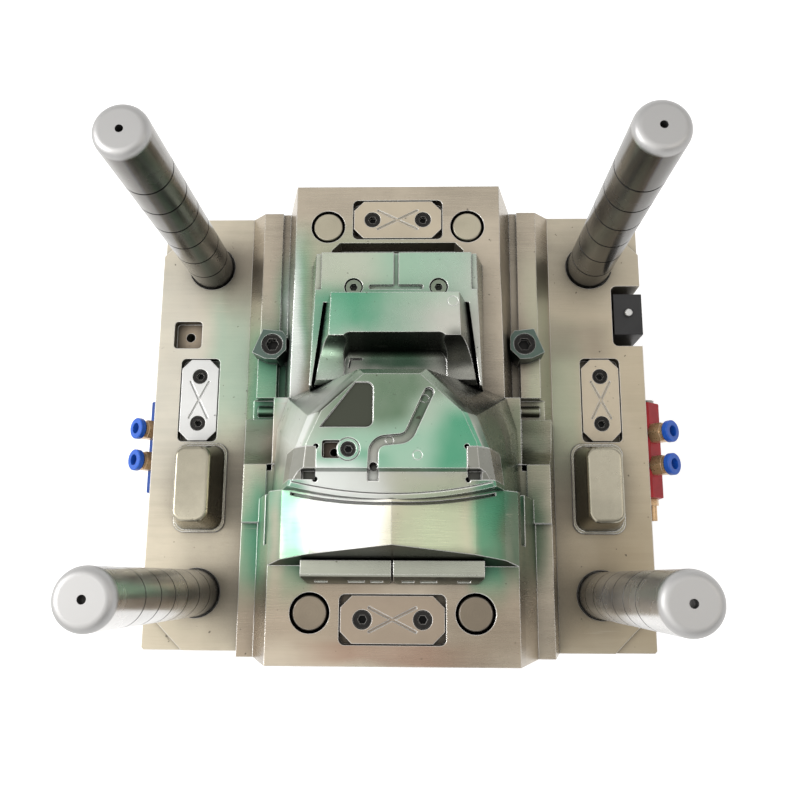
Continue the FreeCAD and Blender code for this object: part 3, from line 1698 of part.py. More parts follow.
def shoe_space():
    """Chamber of the retainer plate in which the shoe slides."""
    x0, x1 = shoe_bounds()
    c = slide_clearance
    half = lifter_shoe_width / 2 + c
    z0 = retainer_floor - over
    z1 = retainer_floor + lifter_shoe_height + 2 * c
    end = lifter_end_room
    return block(x0 - lifter_travel() - end, x1 + end, lifter_axis_y - half, lifter_axis_y + half, z0, z1)


def rod_slot():
    """Slot of the retainer plate through which the lifter's rod rises."""
    x = lifter_x(retainer_top, lifter_axis_x)
    width = 2 * (lifter_rod_radius + lifter_end_room)
    path = [(x - lifter_travel(), lifter_axis_y), (x + 2 * lifter_end_room, lifter_axis_y)]
    return slot_chain(path, width, retainer_floor, retainer_top + over)


def lifter():
    """Lifter on the side X > 0: head cut from the core's corner, hook space, leaning rod and shoe."""
    head_floor = above(plateau_height - lifter_head_depth)
    hook = block(
        lifter_head_inner - over, lifter_head_inner + lifter_hook_width,
        lifter_head_front - over, lifter_head_front + lifter_hook_length,
        above(plateau_height - lifter_hook_depth), above(plateau_height) + over,
    )
    head = insert_core().common(lifter_head_space(0)).cut(hook)
    shoe_floor = retainer_floor + slide_clearance
    x0, x1 = shoe_bounds()
    half = lifter_shoe_width / 2
    shoe_top = shoe_floor + lifter_shoe_height
    shoe = block(x0, x1, lifter_axis_y - half, lifter_axis_y + half, shoe_floor, shoe_top)
    rod = leaning_rod(lifter_rod_radius, shoe_top - over, head_floor + over)
    return head.fuse([rod, shoe])


def lifter_guide_seat():
    """Seat of the lifter's guide plate in the underside of the core plate."""
    x = lifter_x(core_plate_floor + lifter_guide_thickness / 2, lifter_axis_x)
    x0 = x - lifter_guide_length / 2
    y0 = lifter_axis_y - lifter_guide_width / 2
    x1 = x0 + lifter_guide_length
    y1 = y0 + lifter_guide_width
    z0 = core_plate_floor
    return rounded_block(x0, x1, y0, y1, z0 - over, z0 + lifter_guide_thickness, lifter_guide_corner)


def lifter_guide():
    """Bronze guide plate with the lifter's running bore on the side X > 0."""
    z0 = core_plate_floor
    z1 = z0 + lifter_guide_thickness
    body = lifter_guide_seat().common(block(0, plate_width, -plate_length, plate_length, z0, z1))
    return body.cut(leaning_rod(lifter_rod_radius + running_clearance, z0 - over, z1 + over))


def return_pin(x, y, height):
    """Return pin with its head in the retainer plate."""
    body = post(x, y, retainer_floor, above(height), return_pin_radius)
    body = body.makeChamfer(small_chamfer, top_rim(body, above(height)))
    head_top = retainer_floor + return_pin_head_height
    return body.fuse(post(x, y, retainer_floor, head_top, return_pin_head_radius))


def return_pins():
    pins = []
    for x in (-return_pin_x, return_pin_x):
        pins.append(return_pin(x, return_pin_y, upper_block_height))
        pins.append(return_pin(x, -return_pin_y, lower_block_height))
    return pins


def ejector_pin_set():
    """Ejector pins with heads in the retainer plate."""
    pins = []
    for (x, y), radius, height in ejector_pins:
        pin = post(x, y, retainer_floor, above(height), radius)
        head_top = retainer_floor + ejector_pin_head_height
        pins.append(pin.fuse(post(x, y, retainer_floor, head_top, radius + ejector_pin_head_rim)))
    return pins


def return_spring(x, y):
    """Flat-wire coil spring round a return pin, ground level at both ends."""
    z0 = retainer_top
    z1 = core_plate_floor + spring_pocket_depth
    length = z1 - z0
    pitch = (length + spring_wire_height) / (spring_turns + spring_end_turn)
    inner = spring_outer_radius - spring_wire_width
    low = z0 - spring_wire_height
    helix = Part.makeHelix(pitch, length + spring_wire_height, spring_outer_radius - spring_wire_width / 2)
    section = closed_wire([
        (inner, 0, 0), (spring_outer_radius, 0, 0),
        (spring_outer_radius, 0, spring_wire_height), (inner, 0, spring_wire_height),
    ])
    coil = Part.Wire(helix.Edges).makePipeShell([section], True, True)
    coil.translate(Vec(x, y, low))
    reach = spring_pocket_radius
    return coil.common(block(x - reach, x + reach, y - reach, y + reach, z0, z1))


def guide_pin(x, y):
    return post(x, y, 0, core_plate_floor + guide_pin_seat, guide_pin_radius)


def guide_bush(x, y):
    """Bush in both ejector plates, its flange held between them."""
    body = post(x, y, ejector_floor, retainer_top, guide_bush_radius)
    flange = post(x, y, retainer_floor - guide_bush_flange_height, retainer_floor, guide_bush_flange_radius)
    return body.fuse(flange).cut(post(x, y, 0, core_plate_floor, guide_pin_radius + running_clearance))


def support_pillar(x, y):
    body = post(x, y, clamp_plate_thickness, core_plate_floor, support_pillar_radius)
    return body.cut(holes_at([(x, y)], 0, support_screw, support_screw_length(), down))


def stop_button(x, y):
    return post(x, y, clamp_plate_thickness, ejector_floor, stop_button_radius)


def save(name, *shapes):
    """Write one node; each shape's solids stay separate."""
    solids = [solid for shape in shapes for solid in shape.Solids]
    result = solids[0] if len(solids) == 1 else Part.makeCompound(solids)
    result.exportStep("parts/" + name + ".step")


def save_mould_base():
    save("clamp_plate", clamp_plate())
    save("spacer_block_right", spacer_block())
    save("spacer_block_left", mirrored(spacer_block()))
    save("core_plate", core_plate())
    for number, (x, y) in enumerate(four_places(pillar_x, pillar_y), 1):
        save("guide_pillar_%d" % number, guide_pillar(x, y))
    save("support_pillars", *[support_pillar(x, y) for x, y in support_pillar_places])
    support_screws = screws_at(support_pillar_places, 0, support_screw, support_screw_length(), down)
    save("support_pillar_screws", *support_screws)
    save("stop_buttons", *[stop_button(x, y) for x, y in mirror_places(stop_button_places)])
    places = mirror_places(clamp_screw_places)
    save("clamp_plate_screws", *screws_at(places, 0, clamp_screw, clamp_screw_length(), down))
    save("spacer_dowels", *dowels())
    save("ejector_guide_pins", *[guide_pin(x, y) for x, y in four_places(guide_pin_x, guide_pin_y)])
    save("lifter_guides", *both_sides(lifter_guide()))
    save("return_springs", *[return_spring(x, y) for x, y in four_places(return_pin_x, return_pin_y)])


def save_core():
    core = core_block()
    save("core_block", core)
    places = mirror_places(core_screw_places)
    core_screws = screws_at(places, core_plate_floor, core_screw, core_screw_length(), down)
    save("core_block_screws", *core_screws)
    save("main_core_insert", main_core_insert())
    save("upper_core_insert", upper_core_insert())
    save("bridge_insert", bridge_insert())
    bar = front_bar(core)
    save("front_bar_right", bar)
    save("front_bar_left", mirrored(bar))
    floor = above(-core_slot_depth)
    foot_screws = screws_at(tenon_places(), floor, tenon_screw, tenon_screw_length(), down)
    places = mirror_places([bridge_screw_place])
    foot_screws += screws_at(places, floor, bridge_screw, bridge_screw_length(), down)
    save("insert_foot_screws", *foot_screws)
    places = mirror_places([(upper_screw_x, upper_screw_y)])
    top_screws = screws_at(places, above(upper_insert_height), upper_screw, upper_screw_length())
    plateau = above(plateau_height)
    top_screws += screws_at([cap_screw_centre], plateau, plateau_screw, plateau_screw_shank)
    save("insert_top_screws", *top_screws)


def save_side_parts():
    top = above(upper_block_height)
    low = above(lower_block_height)
    wear = {
        "top": (0, wear_upper_y, top, True),
        "bottom": (0, wear_lower_y, low, True),
        "left": (-wear_side_x, wear_side_y, parting_level, False),
        "right": (wear_side_x, wear_side_y, parting_level, False),
    }
    screws = []
    for name, (x, y, z, along_x) in wear.items():
        save("wear_plate_" + name, wear_plate(x, y, z, along_x))
        screws += screws_at(wear_places(x, y, along_x), z, wear_screw, wear_screw_shank)
    save("wear_plate_screws", *screws)
    save("interlock_right", interlock())
    save("interlock_left", mirrored(interlock()))
    places = mirror_places(interlock_screw_places())
    length = interlock_screw_length()
    save("interlock_screws", *screws_at(places, core_plate_floor, interlock_screw, length, down))
    save("corner_clamp_left", corner_clamp())
    save("corner_clamp_right", mirrored(corner_clamp()))
    corner_level = above(clamp_height)
    corner_screws = screws_at(corner_places(), corner_level, corner_screw, corner_screw_length())
    save("corner_clamp_screws", *corner_screws)
    save("counter_body", counter_body())
    save("counter_screws", *counter_screws())
    save("counter_plunger", counter_plunger())


def save_water():
    for side, name in ((-1, "left"), (1, "right")):
        save("water_manifold_" + name, water_manifold(side))
        bodies = []
        for number, seat in enumerate(fitting_seats(side), 1):
            axis = fitting_axis(side)
            bodies.append(placed(fitting_body(), *seat, axis))
            save("release_collar_%s_%d" % (name, number), placed(fitting_collar(), *seat, axis))
        save("hose_fittings_" + name, *bodies)
    save("water_manifold_screws", *manifold_screws())
    middle = manifold_right_y
    half = manifold_length / 2
    save("manifold_plug", placed(plug_solid(), *port_place(middle + half), Vec(0, 1, 0)))
    save("manifold_nipple", placed(nipple_solid(), *port_place(middle - half), Vec(0, -1, 0)))


def save_ejector():
    save("ejector_base_plate", ejector_base_plate())
    save("ejector_retainer_plate", ejector_retainer_plate())
    places = mirror_places(ejector_screw_places)
    screws = screws_at(places, ejector_floor, ejector_screw, ejector_screw_length(), down)
    save("ejector_plate_screws", *screws)
    save("ejector_guide_bushes", *[guide_bush(x, y) for x, y in four_places(guide_pin_x, guide_pin_y)])
    save("return_pins", *return_pins())
    save("ejector_pins", *ejector_pin_set())
    save("lifter_right", lifter())
    save("lifter_left", mirrored(lifter()))


os.makedirs("parts", exist_ok=True)
save_mould_base()
save_core()
save_side_parts()
save_water()
save_ejector()
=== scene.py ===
import bmesh
import bpy
import math
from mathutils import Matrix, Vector


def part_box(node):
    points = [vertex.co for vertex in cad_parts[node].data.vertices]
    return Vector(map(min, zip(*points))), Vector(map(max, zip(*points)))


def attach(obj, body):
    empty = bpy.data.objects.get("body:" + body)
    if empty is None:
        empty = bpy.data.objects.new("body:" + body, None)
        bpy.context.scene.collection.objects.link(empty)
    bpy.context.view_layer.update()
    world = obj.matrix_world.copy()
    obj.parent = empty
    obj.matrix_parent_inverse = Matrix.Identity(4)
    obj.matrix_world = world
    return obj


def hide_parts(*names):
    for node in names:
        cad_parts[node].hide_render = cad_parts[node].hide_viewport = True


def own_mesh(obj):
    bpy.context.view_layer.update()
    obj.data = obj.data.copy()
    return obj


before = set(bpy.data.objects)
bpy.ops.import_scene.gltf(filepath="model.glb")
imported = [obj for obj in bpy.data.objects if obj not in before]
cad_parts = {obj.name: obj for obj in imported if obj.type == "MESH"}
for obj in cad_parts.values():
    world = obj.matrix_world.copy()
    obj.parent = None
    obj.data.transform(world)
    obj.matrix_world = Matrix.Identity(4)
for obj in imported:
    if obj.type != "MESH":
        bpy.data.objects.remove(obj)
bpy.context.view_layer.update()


map_sockets = ("From Min", "From Max", "To Min", "To Max")
first_colour, second_colour, mixed_colour = 6, 7, 2


# Shader building

class Paint:
    """One procedural material, built from object coordinates towards its shader."""

    def __init__(self, name):
        self.material = bpy.data.materials.new(name)
        self.material.use_nodes = True
        self.tree = self.material.node_tree
        self.tree.nodes.clear()
        self.output = self.tree.nodes.new("ShaderNodeOutputMaterial")
        self.shader = self.tree.nodes.new("ShaderNodeBsdfPrincipled")
        self.tree.links.new(self.shader.outputs["BSDF"], self.output.inputs["Surface"])
        self.place = self.add("ShaderNodeTexCoord").outputs["Object"]

    def add(self, kind, **settings):
        made = self.tree.nodes.new(kind)
        for key, value in settings.items():
            setattr(made, key, value)
        return made

    def feed(self, socket, value):
        if isinstance(value, bpy.types.NodeSocket):
            self.tree.links.new(value, socket)
        else:
            socket.default_value = value

    def stretched(self, stretch, shift):
        """The object coordinate, drawn out or pressed along its axes."""
        mapping = self.add("ShaderNodeMapping")
        self.feed(mapping.inputs["Vector"], self.place)
        mapping.inputs["Location"].default_value = shift
        mapping.inputs["Scale"].default_value = stretch
        return mapping.outputs["Vector"]

    def noise(self, scale, detail, rough, stretch=(1.0, 1.0, 1.0), shift=(0.0, 0.0, 0.0)):
        texture = self.add("ShaderNodeTexNoise")
        self.feed(texture.inputs["Vector"], self.stretched(stretch, shift))
        texture.inputs["Scale"].default_value = scale
        texture.inputs["Detail"].default_value = detail
        texture.inputs["Roughness"].default_value = rough
        return texture.outputs["Fac"]

    def maths(self, operation, first, second=0.0):
        made = self.add("ShaderNodeMath", operation=operation)
        self.feed(made.inputs[0], first)
        self.feed(made.inputs[1], second)
        return made.outputs["Value"]

    def vector(self, operation, first, second=(0.0, 0.0, 0.0)):
        made = self.add("ShaderNodeVectorMath", operation=operation)
        self.feed(made.inputs[0], first)
        self.feed(made.inputs[1], second)
        return made

    def spread(self, value, low, high, out_low=0.0, out_high=1.0):
        """A value brought smoothly from one range into another."""
        made = self.add("ShaderNodeMapRange", interpolation_type="SMOOTHSTEP")
        self.feed(made.inputs["Value"], value)
        for socket, number in zip(map_sockets, (low, high, out_low, out_high)):
            made.inputs[socket].default_value = number
        return made.outputs["Result"]

    def blend(self, factor, first, second, mode="MIX"):
        made = self.add("ShaderNodeMix", data_type="RGBA", blend_type=mode, clamp_factor=True)
        self.feed(made.inputs["Factor"], factor)
        self.feed(made.inputs[first_colour], opaque(first))
        self.feed(made.inputs[second_colour], opaque(second))
        return made.outputs[mixed_colour]

    def edge(self, radius):
        """How near a point lies to a sharp edge, and the normal that rounds that edge."""
        bevel = self.add("ShaderNodeBevel", samples=6)
        bevel.inputs["Radius"].default_value = radius
        flat = self.add("ShaderNodeNewGeometry").outputs["True Normal"]
        turn = self.vector("DOT_PRODUCT", bevel.outputs["Normal"], flat).outputs["Value"]
        edge_nearness = self.spread(self.maths("SUBTRACT", 1.0, turn), 0.006, 0.12)
        return edge_nearness, bevel.outputs["Normal"]

    def painted_shade(self, distance, low, high, out_low):
        """Painted shade: one where a point lies open, falling to a lower value in corners and gaps,
        where shade falls.
        """
        shade = self.add("ShaderNodeAmbientOcclusion", samples=8)
        shade.inputs["Distance"].default_value = distance
        return self.spread(shade.outputs["AO"], low, high, out_low, 1.0)

    def darken(self, tone, factor):
        """Multiply a tone by a number."""
        grey = self.add("ShaderNodeCombineXYZ")
        for socket in ("X", "Y", "Z"):
            self.feed(grey.inputs[socket], factor)
        return self.blend(1.0, tone, grey.outputs["Vector"], "MULTIPLY")

    def height(self, low, high, axis="Z"):
        """Zero below one level of an axis, one above another."""
        parts = self.add("ShaderNodeSeparateXYZ")
        self.feed(parts.inputs["Vector"], self.place)
        return self.spread(parts.outputs[axis], low, high)

    def facing(self, direction, low, high):
        """One on surfaces that face a direction, zero on the others."""
        flat = self.add("ShaderNodeNewGeometry").outputs["True Normal"]
        turn = self.vector("DOT_PRODUCT", flat, direction).outputs["Value"]
        return self.spread(turn, low, high)

    def bump(self, height, distance, strength, normal):
        made = self.add("ShaderNodeBump")
        made.inputs["Strength"].default_value = strength
        made.inputs["Distance"].default_value = distance
        self.feed(made.inputs["Height"], height)
        self.feed(made.inputs["Normal"], normal)
        return made.outputs["Normal"]

    def finish(self, colour, roughness, normal, metallic, specular=0.5):
        """Feed the shader and hand back the material."""
        self.feed(self.shader.inputs["Base Color"], opaque(colour))
        self.feed(self.shader.inputs["Roughness"], roughness)
        self.feed(self.shader.inputs["Normal"], normal)
        self.shader.inputs["Metallic"].default_value = metallic
        self.shader.inputs["Specular IOR Level"].default_value = specular
        return self.material


def opaque(colour):
    """A colour with its alpha, where the colour is written as three numbers."""
    if isinstance(colour, tuple) and len(colour) == 3:
        return colour + (1.0,)
    return colour


def scratches(paint, stretch, shift, low, high):
    """Thin stray lines from a noise drawn out along one direction."""
    return paint.spread(paint.noise(60.0, 2.0, 0.5, stretch, shift), low, high)


def near(paint, where, place, reach, firm):
    """One inside a box round a place, fading out to its sides from a firm share of its reach."""
    offset = paint.vector("SUBTRACT", where, place).outputs["Vector"]
    scaled = paint.vector("DIVIDE", offset, reach).outputs["Vector"]
    sides = paint.add("ShaderNodeSeparateXYZ")
    paint.feed(sides.inputs["Vector"], paint.vector("ABSOLUTE", scaled).outputs["Vector"])
    across = paint.spread(sides.outputs["X"], firm, 1.0, 1.0, 0.0)
    along = paint.spread(sides.outputs["Y"], firm, 1.0, 1.0, 0.0)
    upward = paint.spread(sides.outputs["Z"], 0.9, 1.0, 1.0, 0.0)
    return paint.maths("MULTIPLY", paint.maths("MULTIPLY", across, along), upward)


def wandering(paint, amount=0.022, scale=16.0):
    """The place of a point, shifted a little this way and that, so that patches end unevenly."""
    swirl = paint.add("ShaderNodeTexNoise")
    paint.feed(swirl.inputs["Vector"], paint.place)
    swirl.inputs["Scale"].default_value = scale
    swirl.inputs["Detail"].default_value = 3.0
    middle = paint.vector("SUBTRACT", swirl.outputs["Color"], (0.5, 0.5, 0.5)).outputs["Vector"]
    shift = paint.vector("MULTIPLY", middle, (amount, amount, 0.0)).outputs["Vector"]
    return paint.vector("ADD", paint.place, shift).outputs["Vector"]


def reflection_and_stain_patches(paint, tone, patches):
    """Patches of painted reflection, painted shade and real stains, broken up by a noise."""
    if not patches:
        return tone
    where = wandering(paint)
    patch_breakup = paint.spread(paint.noise(26.0, 3.0, 0.5, (1.0, 0.45, 1.0)), 0.25, 0.62, 0.72, 1.0)
    for place, reach, amount, colour in patches:
        spot = paint.maths("MULTIPLY", near(paint, where, place, reach, 0.3), amount)
        tone = paint.blend(paint.maths("MULTIPLY", spot, patch_breakup), tone, colour)
    return tone


# Steels

def milled_steel(name, colour, feed, rough=0.42, patches=(), floors=(), contrast=1.0,
                 metallic=0.6, relief=0.16, round_off=0.0011):
    """Milled tool steel: feed marks along one direction, clouds, stray marks, painted shade in
    corners, gaps and on front walls, and edges painted bright as wear and as painted highlight.
    """
    paint = Paint(name)
    edge, rounded = paint.edge(round_off)
    marks = paint.noise(9.0, 5.0, 0.6, feed)
    fine = paint.noise(90.0, 3.0, 0.6, feed, (0.4, 0.2, 0.1))
    clouds = paint.noise(7.0, 5.0, 0.6, (1.0, 1.0, 1.0), (2.0, 1.0, 0.5))
    specks = paint.noise(210.0, 2.0, 0.5, (1.0, 1.0, 1.0), (3.0, 8.0, 1.0))
    dark = tuple(channel * (1.0 - 0.24 * contrast) for channel in colour)
    light = tuple(min(1.0, channel * (1.0 + 0.14 * contrast)) for channel in colour)
    tone = paint.blend(paint.spread(clouds, 0.3, 0.7), dark, light)
    tone = paint.blend(paint.spread(marks, 0.38, 0.62, 0.0, 0.30), tone, light)
    tone = paint.blend(paint.spread(fine, 0.45, 0.75, 0.0, 0.16), tone, dark)
    tone = reflection_and_stain_patches(paint, tone, patches)
    for place, reach, floor_colour in floors:
        tone = paint.blend(near(paint, paint.place, place, reach, 0.97), tone, floor_colour)
    # Painted shade: faces turned towards -Y, above the plate and behind the front of the core
    # block, are darkened almost to black.
    front_wall_shade = paint.facing((0.0, -1.0, 0.0), 0.72, 0.95)
    front_wall_shade = paint.maths("MULTIPLY", front_wall_shade, paint.height(-0.142, -0.138, "Y"))
    front_wall_shade = paint.maths("MULTIPLY", front_wall_shade, paint.height(0.335, 0.345))
    tone = paint.blend(paint.maths("MULTIPLY", front_wall_shade, 0.8), tone, front_shade_black)
    tone = paint.blend(paint.spread(specks, 0.735, 0.76, 0.0, 0.7), tone, speck_brown)
    lines = scratches(paint, (0.25, 3.0, 1.0), (1.0, 7.0, 2.0), 0.70, 0.76)
    tone = paint.blend(paint.maths("MULTIPLY", lines, 0.3), tone, light)
    # Painted shade: darker in corners, gaps and recesses, over a wide and a narrow reach.
    tone = paint.darken(tone, paint.painted_shade(0.035, 0.25, 1.0, 0.22))
    tone = paint.darken(tone, paint.painted_shade(0.004, 0.15, 0.80, 0.25))
    # Edges painted bright: partly wear, partly painted highlight of the light on rounded edges.
    tone = paint.blend(paint.maths("MULTIPLY", edge, 0.85), tone, edge_wear_and_highlight)
    gloss = paint.spread(clouds, 0.3, 0.75, rough - 0.05, rough + 0.08)
    gloss = paint.maths("ADD", gloss, paint.spread(fine, 0.3, 0.7, -0.03, 0.04))
    height = paint.maths("ADD", marks, paint.maths("MULTIPLY", fine, 0.6))
    normal = paint.bump(height, 0.0002, relief, rounded)
    return paint.finish(tone, gloss, normal, metallic)


def turned_steel(name, colour, centre, rough=0.3, contrast=1.0, far_colour=None):
    """Turned or ground steel: faint rings round four mirrored centres, clouds, painted shade in
    gaps, and edges painted bright as wear and as painted highlight.
    """
    paint = Paint(name)
    edge, rounded = paint.edge(0.0007)
    folded = paint.vector("ABSOLUTE", paint.place).outputs["Vector"]
    own = paint.vector("SUBTRACT", folded, centre).outputs["Vector"]
    level = paint.vector("MULTIPLY", own, (1.0, 1.0, 0.0)).outputs["Vector"]
    radius = paint.vector("LENGTH", level).outputs["Value"]
    sweep = paint.add("ShaderNodeCombineXYZ")
    paint.feed(sweep.inputs["X"], paint.maths("MULTIPLY", radius, 900.0))
    rings = paint.add("ShaderNodeTexNoise")
    paint.feed(rings.inputs["Vector"], sweep.outputs["Vector"])
    rings.inputs["Scale"].default_value = 1.0
    rings.inputs["Detail"].default_value = 3.0
    clouds = paint.noise(16.0, 4.0, 0.6)
    # far_colour paints parts towards +Y in another tone; for the return pins this is painted light,
    # the far pins painted paler than the near ones.
    if far_colour:
        colour = paint.blend(paint.height(-0.05, 0.05, "Y"), colour, far_colour)
    ring_low = 1.0 - 0.12 * contrast
    tone = paint.darken(colour, paint.spread(rings.outputs["Fac"], 0.35, 0.65, ring_low, 1.0))
    tone = paint.darken(tone, paint.spread(clouds, 0.35, 0.7, 1.0, 0.82))
    # Painted shade in gaps and recesses.
    tone = paint.darken(tone, paint.painted_shade(0.02, 0.2, 0.9, 0.3))
    # Edges painted bright: partly wear, partly painted highlight.
    tone = paint.blend(paint.maths("MULTIPLY", edge, 0.45), tone, (0.80, 0.79, 0.77))
    gloss = paint.spread(clouds, 0.3, 0.7, rough - 0.05, rough + 0.08)
    normal = paint.bump(rings.outputs["Fac"], 0.0001, 0.06, rounded)
    return paint.finish(tone, gloss, normal, 0.8)


def pillar_finish(first_groove=0.300, pitch=0.0345, last_groove=0.4725):
    """Ground guide pillar: satin shaft, the far pillars painted darker and the near ones paler as
    painted light, streaks of painted reflection, grooves painted near black, a pale nose, and
    painted shade at the foot.
    """
    paint = Paint("pillar_steel")
    rounded = paint.edge(0.0004)[1]
    scuffs = paint.noise(40.0, 3.0, 0.6, (1.0, 1.0, 0.05))
    clouds = paint.noise(14.0, 4.0, 0.6)
    # Painted light: pillars towards +Y get the dark tone and those towards -Y the pale tone, lit
    # and shaded copies of one steel.
    upper = paint.blend(paint.spread(clouds, 0.3, 0.7), (0.175, 0.165, 0.15), (0.27, 0.26, 0.245))
    lower = paint.blend(paint.spread(clouds, 0.3, 0.7), (0.55, 0.54, 0.53), (0.74, 0.73, 0.72))
    tone = paint.blend(paint.height(-0.05, 0.05, "Y"), lower, upper)
    tone = paint.blend(paint.spread(scuffs, 0.5, 0.8, 0.0, 0.35), tone, (0.55, 0.54, 0.53))
    # Painted reflection: vertical streaks darken the shaft, standing in for the bands a ground
    # shaft reflects.
    streaks = paint.noise(34.0, 2.0, 0.5, (1.0, 1.0, 0.02), (0.3, 0.6, 0.0))
    tone = paint.darken(tone, paint.spread(streaks, 0.38, 0.62, 0.55, 1.0))
    nose = paint.height(0.5225, 0.5255)
    tone = paint.blend(nose, tone, (0.46, 0.455, 0.45))
    parts = paint.add("ShaderNodeSeparateXYZ")
    paint.feed(parts.inputs["Vector"], paint.place)
    steps = paint.maths("DIVIDE", paint.maths("SUBTRACT", parts.outputs["Z"], first_groove), pitch)
    off = paint.maths("ABSOLUTE", paint.maths("SUBTRACT", steps, paint.maths("ROUND", steps)))
    beside = paint.spread(off, 0.018, 0.034)
    above = paint.height(last_groove + 0.005, last_groove + 0.008)
    plain = paint.maths("MAXIMUM", beside, above)
    tone = paint.darken(tone, paint.maths("MAXIMUM", plain, 0.03))
    # Painted shade: darker towards the foot near the plate, and darker in gaps and recesses.
    tone = paint.darken(tone, paint.spread(parts.outputs["Z"], 0.27, 0.36, 0.55, 1.0))
    tone = paint.darken(tone, paint.painted_shade(0.03, 0.2, 0.95, 0.3))
    gloss = paint.spread(clouds, 0.3, 0.7, 0.22, 0.30)
    gloss = paint.maths("ADD", gloss, paint.maths("MULTIPLY", nose, 0.20))
    return paint.finish(tone, gloss, paint.bump(scuffs, 0.0001, 0.08, rounded), 0.85)


# Other finishes

def black_oxide(name, rub_and_highlight, far_colour=None, colour=(0.016, 0.015, 0.014)):
    """Blackened screws with painted shade in their sockets and recesses, their edges painted bright
    as rubbed wear and as painted highlight; towards +Y they may have another colour.
    """
    paint = Paint(name)
    edge, rounded = paint.edge(0.0005)
    grain = paint.noise(420.0, 3.0, 0.6)
    clouds = paint.noise(60.0, 3.0, 0.6)
    lighter = tuple(1.6 * channel for channel in colour)
    tone = paint.blend(paint.spread(clouds, 0.35, 0.7), colour, lighter)
    if far_colour:
        tone = paint.blend(paint.height(0.045, 0.055, "Y"), tone, far_colour)
    # Painted shade: sockets and recesses darkened almost to black.
    tone = paint.darken(tone, paint.painted_shade(0.006, 0.3, 0.95, 0.05))
    # Edges painted bright: partly rubbed wear, partly painted highlight.
    tone = paint.blend(paint.maths("MULTIPLY", edge, 0.85), tone, rub_and_highlight)
    gloss = paint.spread(clouds, 0.3, 0.7, 0.30, 0.46)
    return paint.finish(tone, gloss, paint.bump(grain, 0.0001, 0.2, rounded), 0.3, 0.15)


def coloured_metal(name, colour, rough, wear, metallic=0.85, grain_scale=500.0, edge_wear=0.5):
    """Brass, anodised aluminium or plated metal, with rubbed edges."""
    paint = Paint(name)
    edge, rounded = paint.edge(0.0005)
    grain = paint.noise(grain_scale, 3.0, 0.6)
    clouds = paint.noise(45.0, 4.0, 0.6)
    dark = tuple(0.66 * channel for channel in colour)
    tone = paint.blend(paint.spread(clouds, 0.3, 0.72), dark, colour)
    tone = paint.blend(paint.maths("MULTIPLY", edge, edge_wear), tone, wear)
    gloss = paint.spread(grain, 0.3, 0.7, rough - 0.05, rough + 0.08)
    return paint.finish(tone, gloss, paint.bump(grain, 0.0001, 0.15, rounded), metallic)


def moulded_plastic(name, colour, rough=0.35):
    """Plastic with a fine grain, a little paler in clouds and on its edges."""
    paint = Paint(name)
    edge, rounded = paint.edge(0.0006)
    grain = paint.noise(900.0, 2.0, 0.6)
    clouds = paint.noise(40.0, 3.0, 0.5)
    pale = tuple(min(1.0, 1.5 * channel + 0.02) for channel in colour)
    tone = paint.blend(paint.spread(clouds, 0.3, 0.75, 0.0, 0.5), colour, pale)
    tone = paint.blend(paint.maths("MULTIPLY", edge, 0.35), tone, pale)
    gloss = paint.spread(clouds, 0.3, 0.7, rough - 0.05, rough + 0.10)
    return paint.finish(tone, gloss, paint.bump(grain, 0.0001, 0.2, rounded), 0.0)


# Colours of painted reflection, painted shade, stains, dirt and edges

# Painted reflection of green surroundings
emerald = (0.070, 0.290, 0.170)
mint = (0.26, 0.46, 0.335)
pale_green = (0.40, 0.49, 0.33)
olive = (0.075, 0.15, 0.080)
# Painted shade
deep_green = (0.018, 0.085, 0.040)
slate = (0.045, 0.050, 0.042)
# Real stains
rust = (0.30, 0.17, 0.12)
umber = (0.20, 0.14, 0.09)
# Painted reflection of the window
pale = (0.74, 0.77, 0.74)
# Painted shade on front walls
front_shade_black = (0.020, 0.022, 0.017)
# Real dirt specks
speck_brown = (0.05, 0.04, 0.03)
# Edge wear and painted highlight
edge_wear_and_highlight = (0.92, 0.91, 0.89)
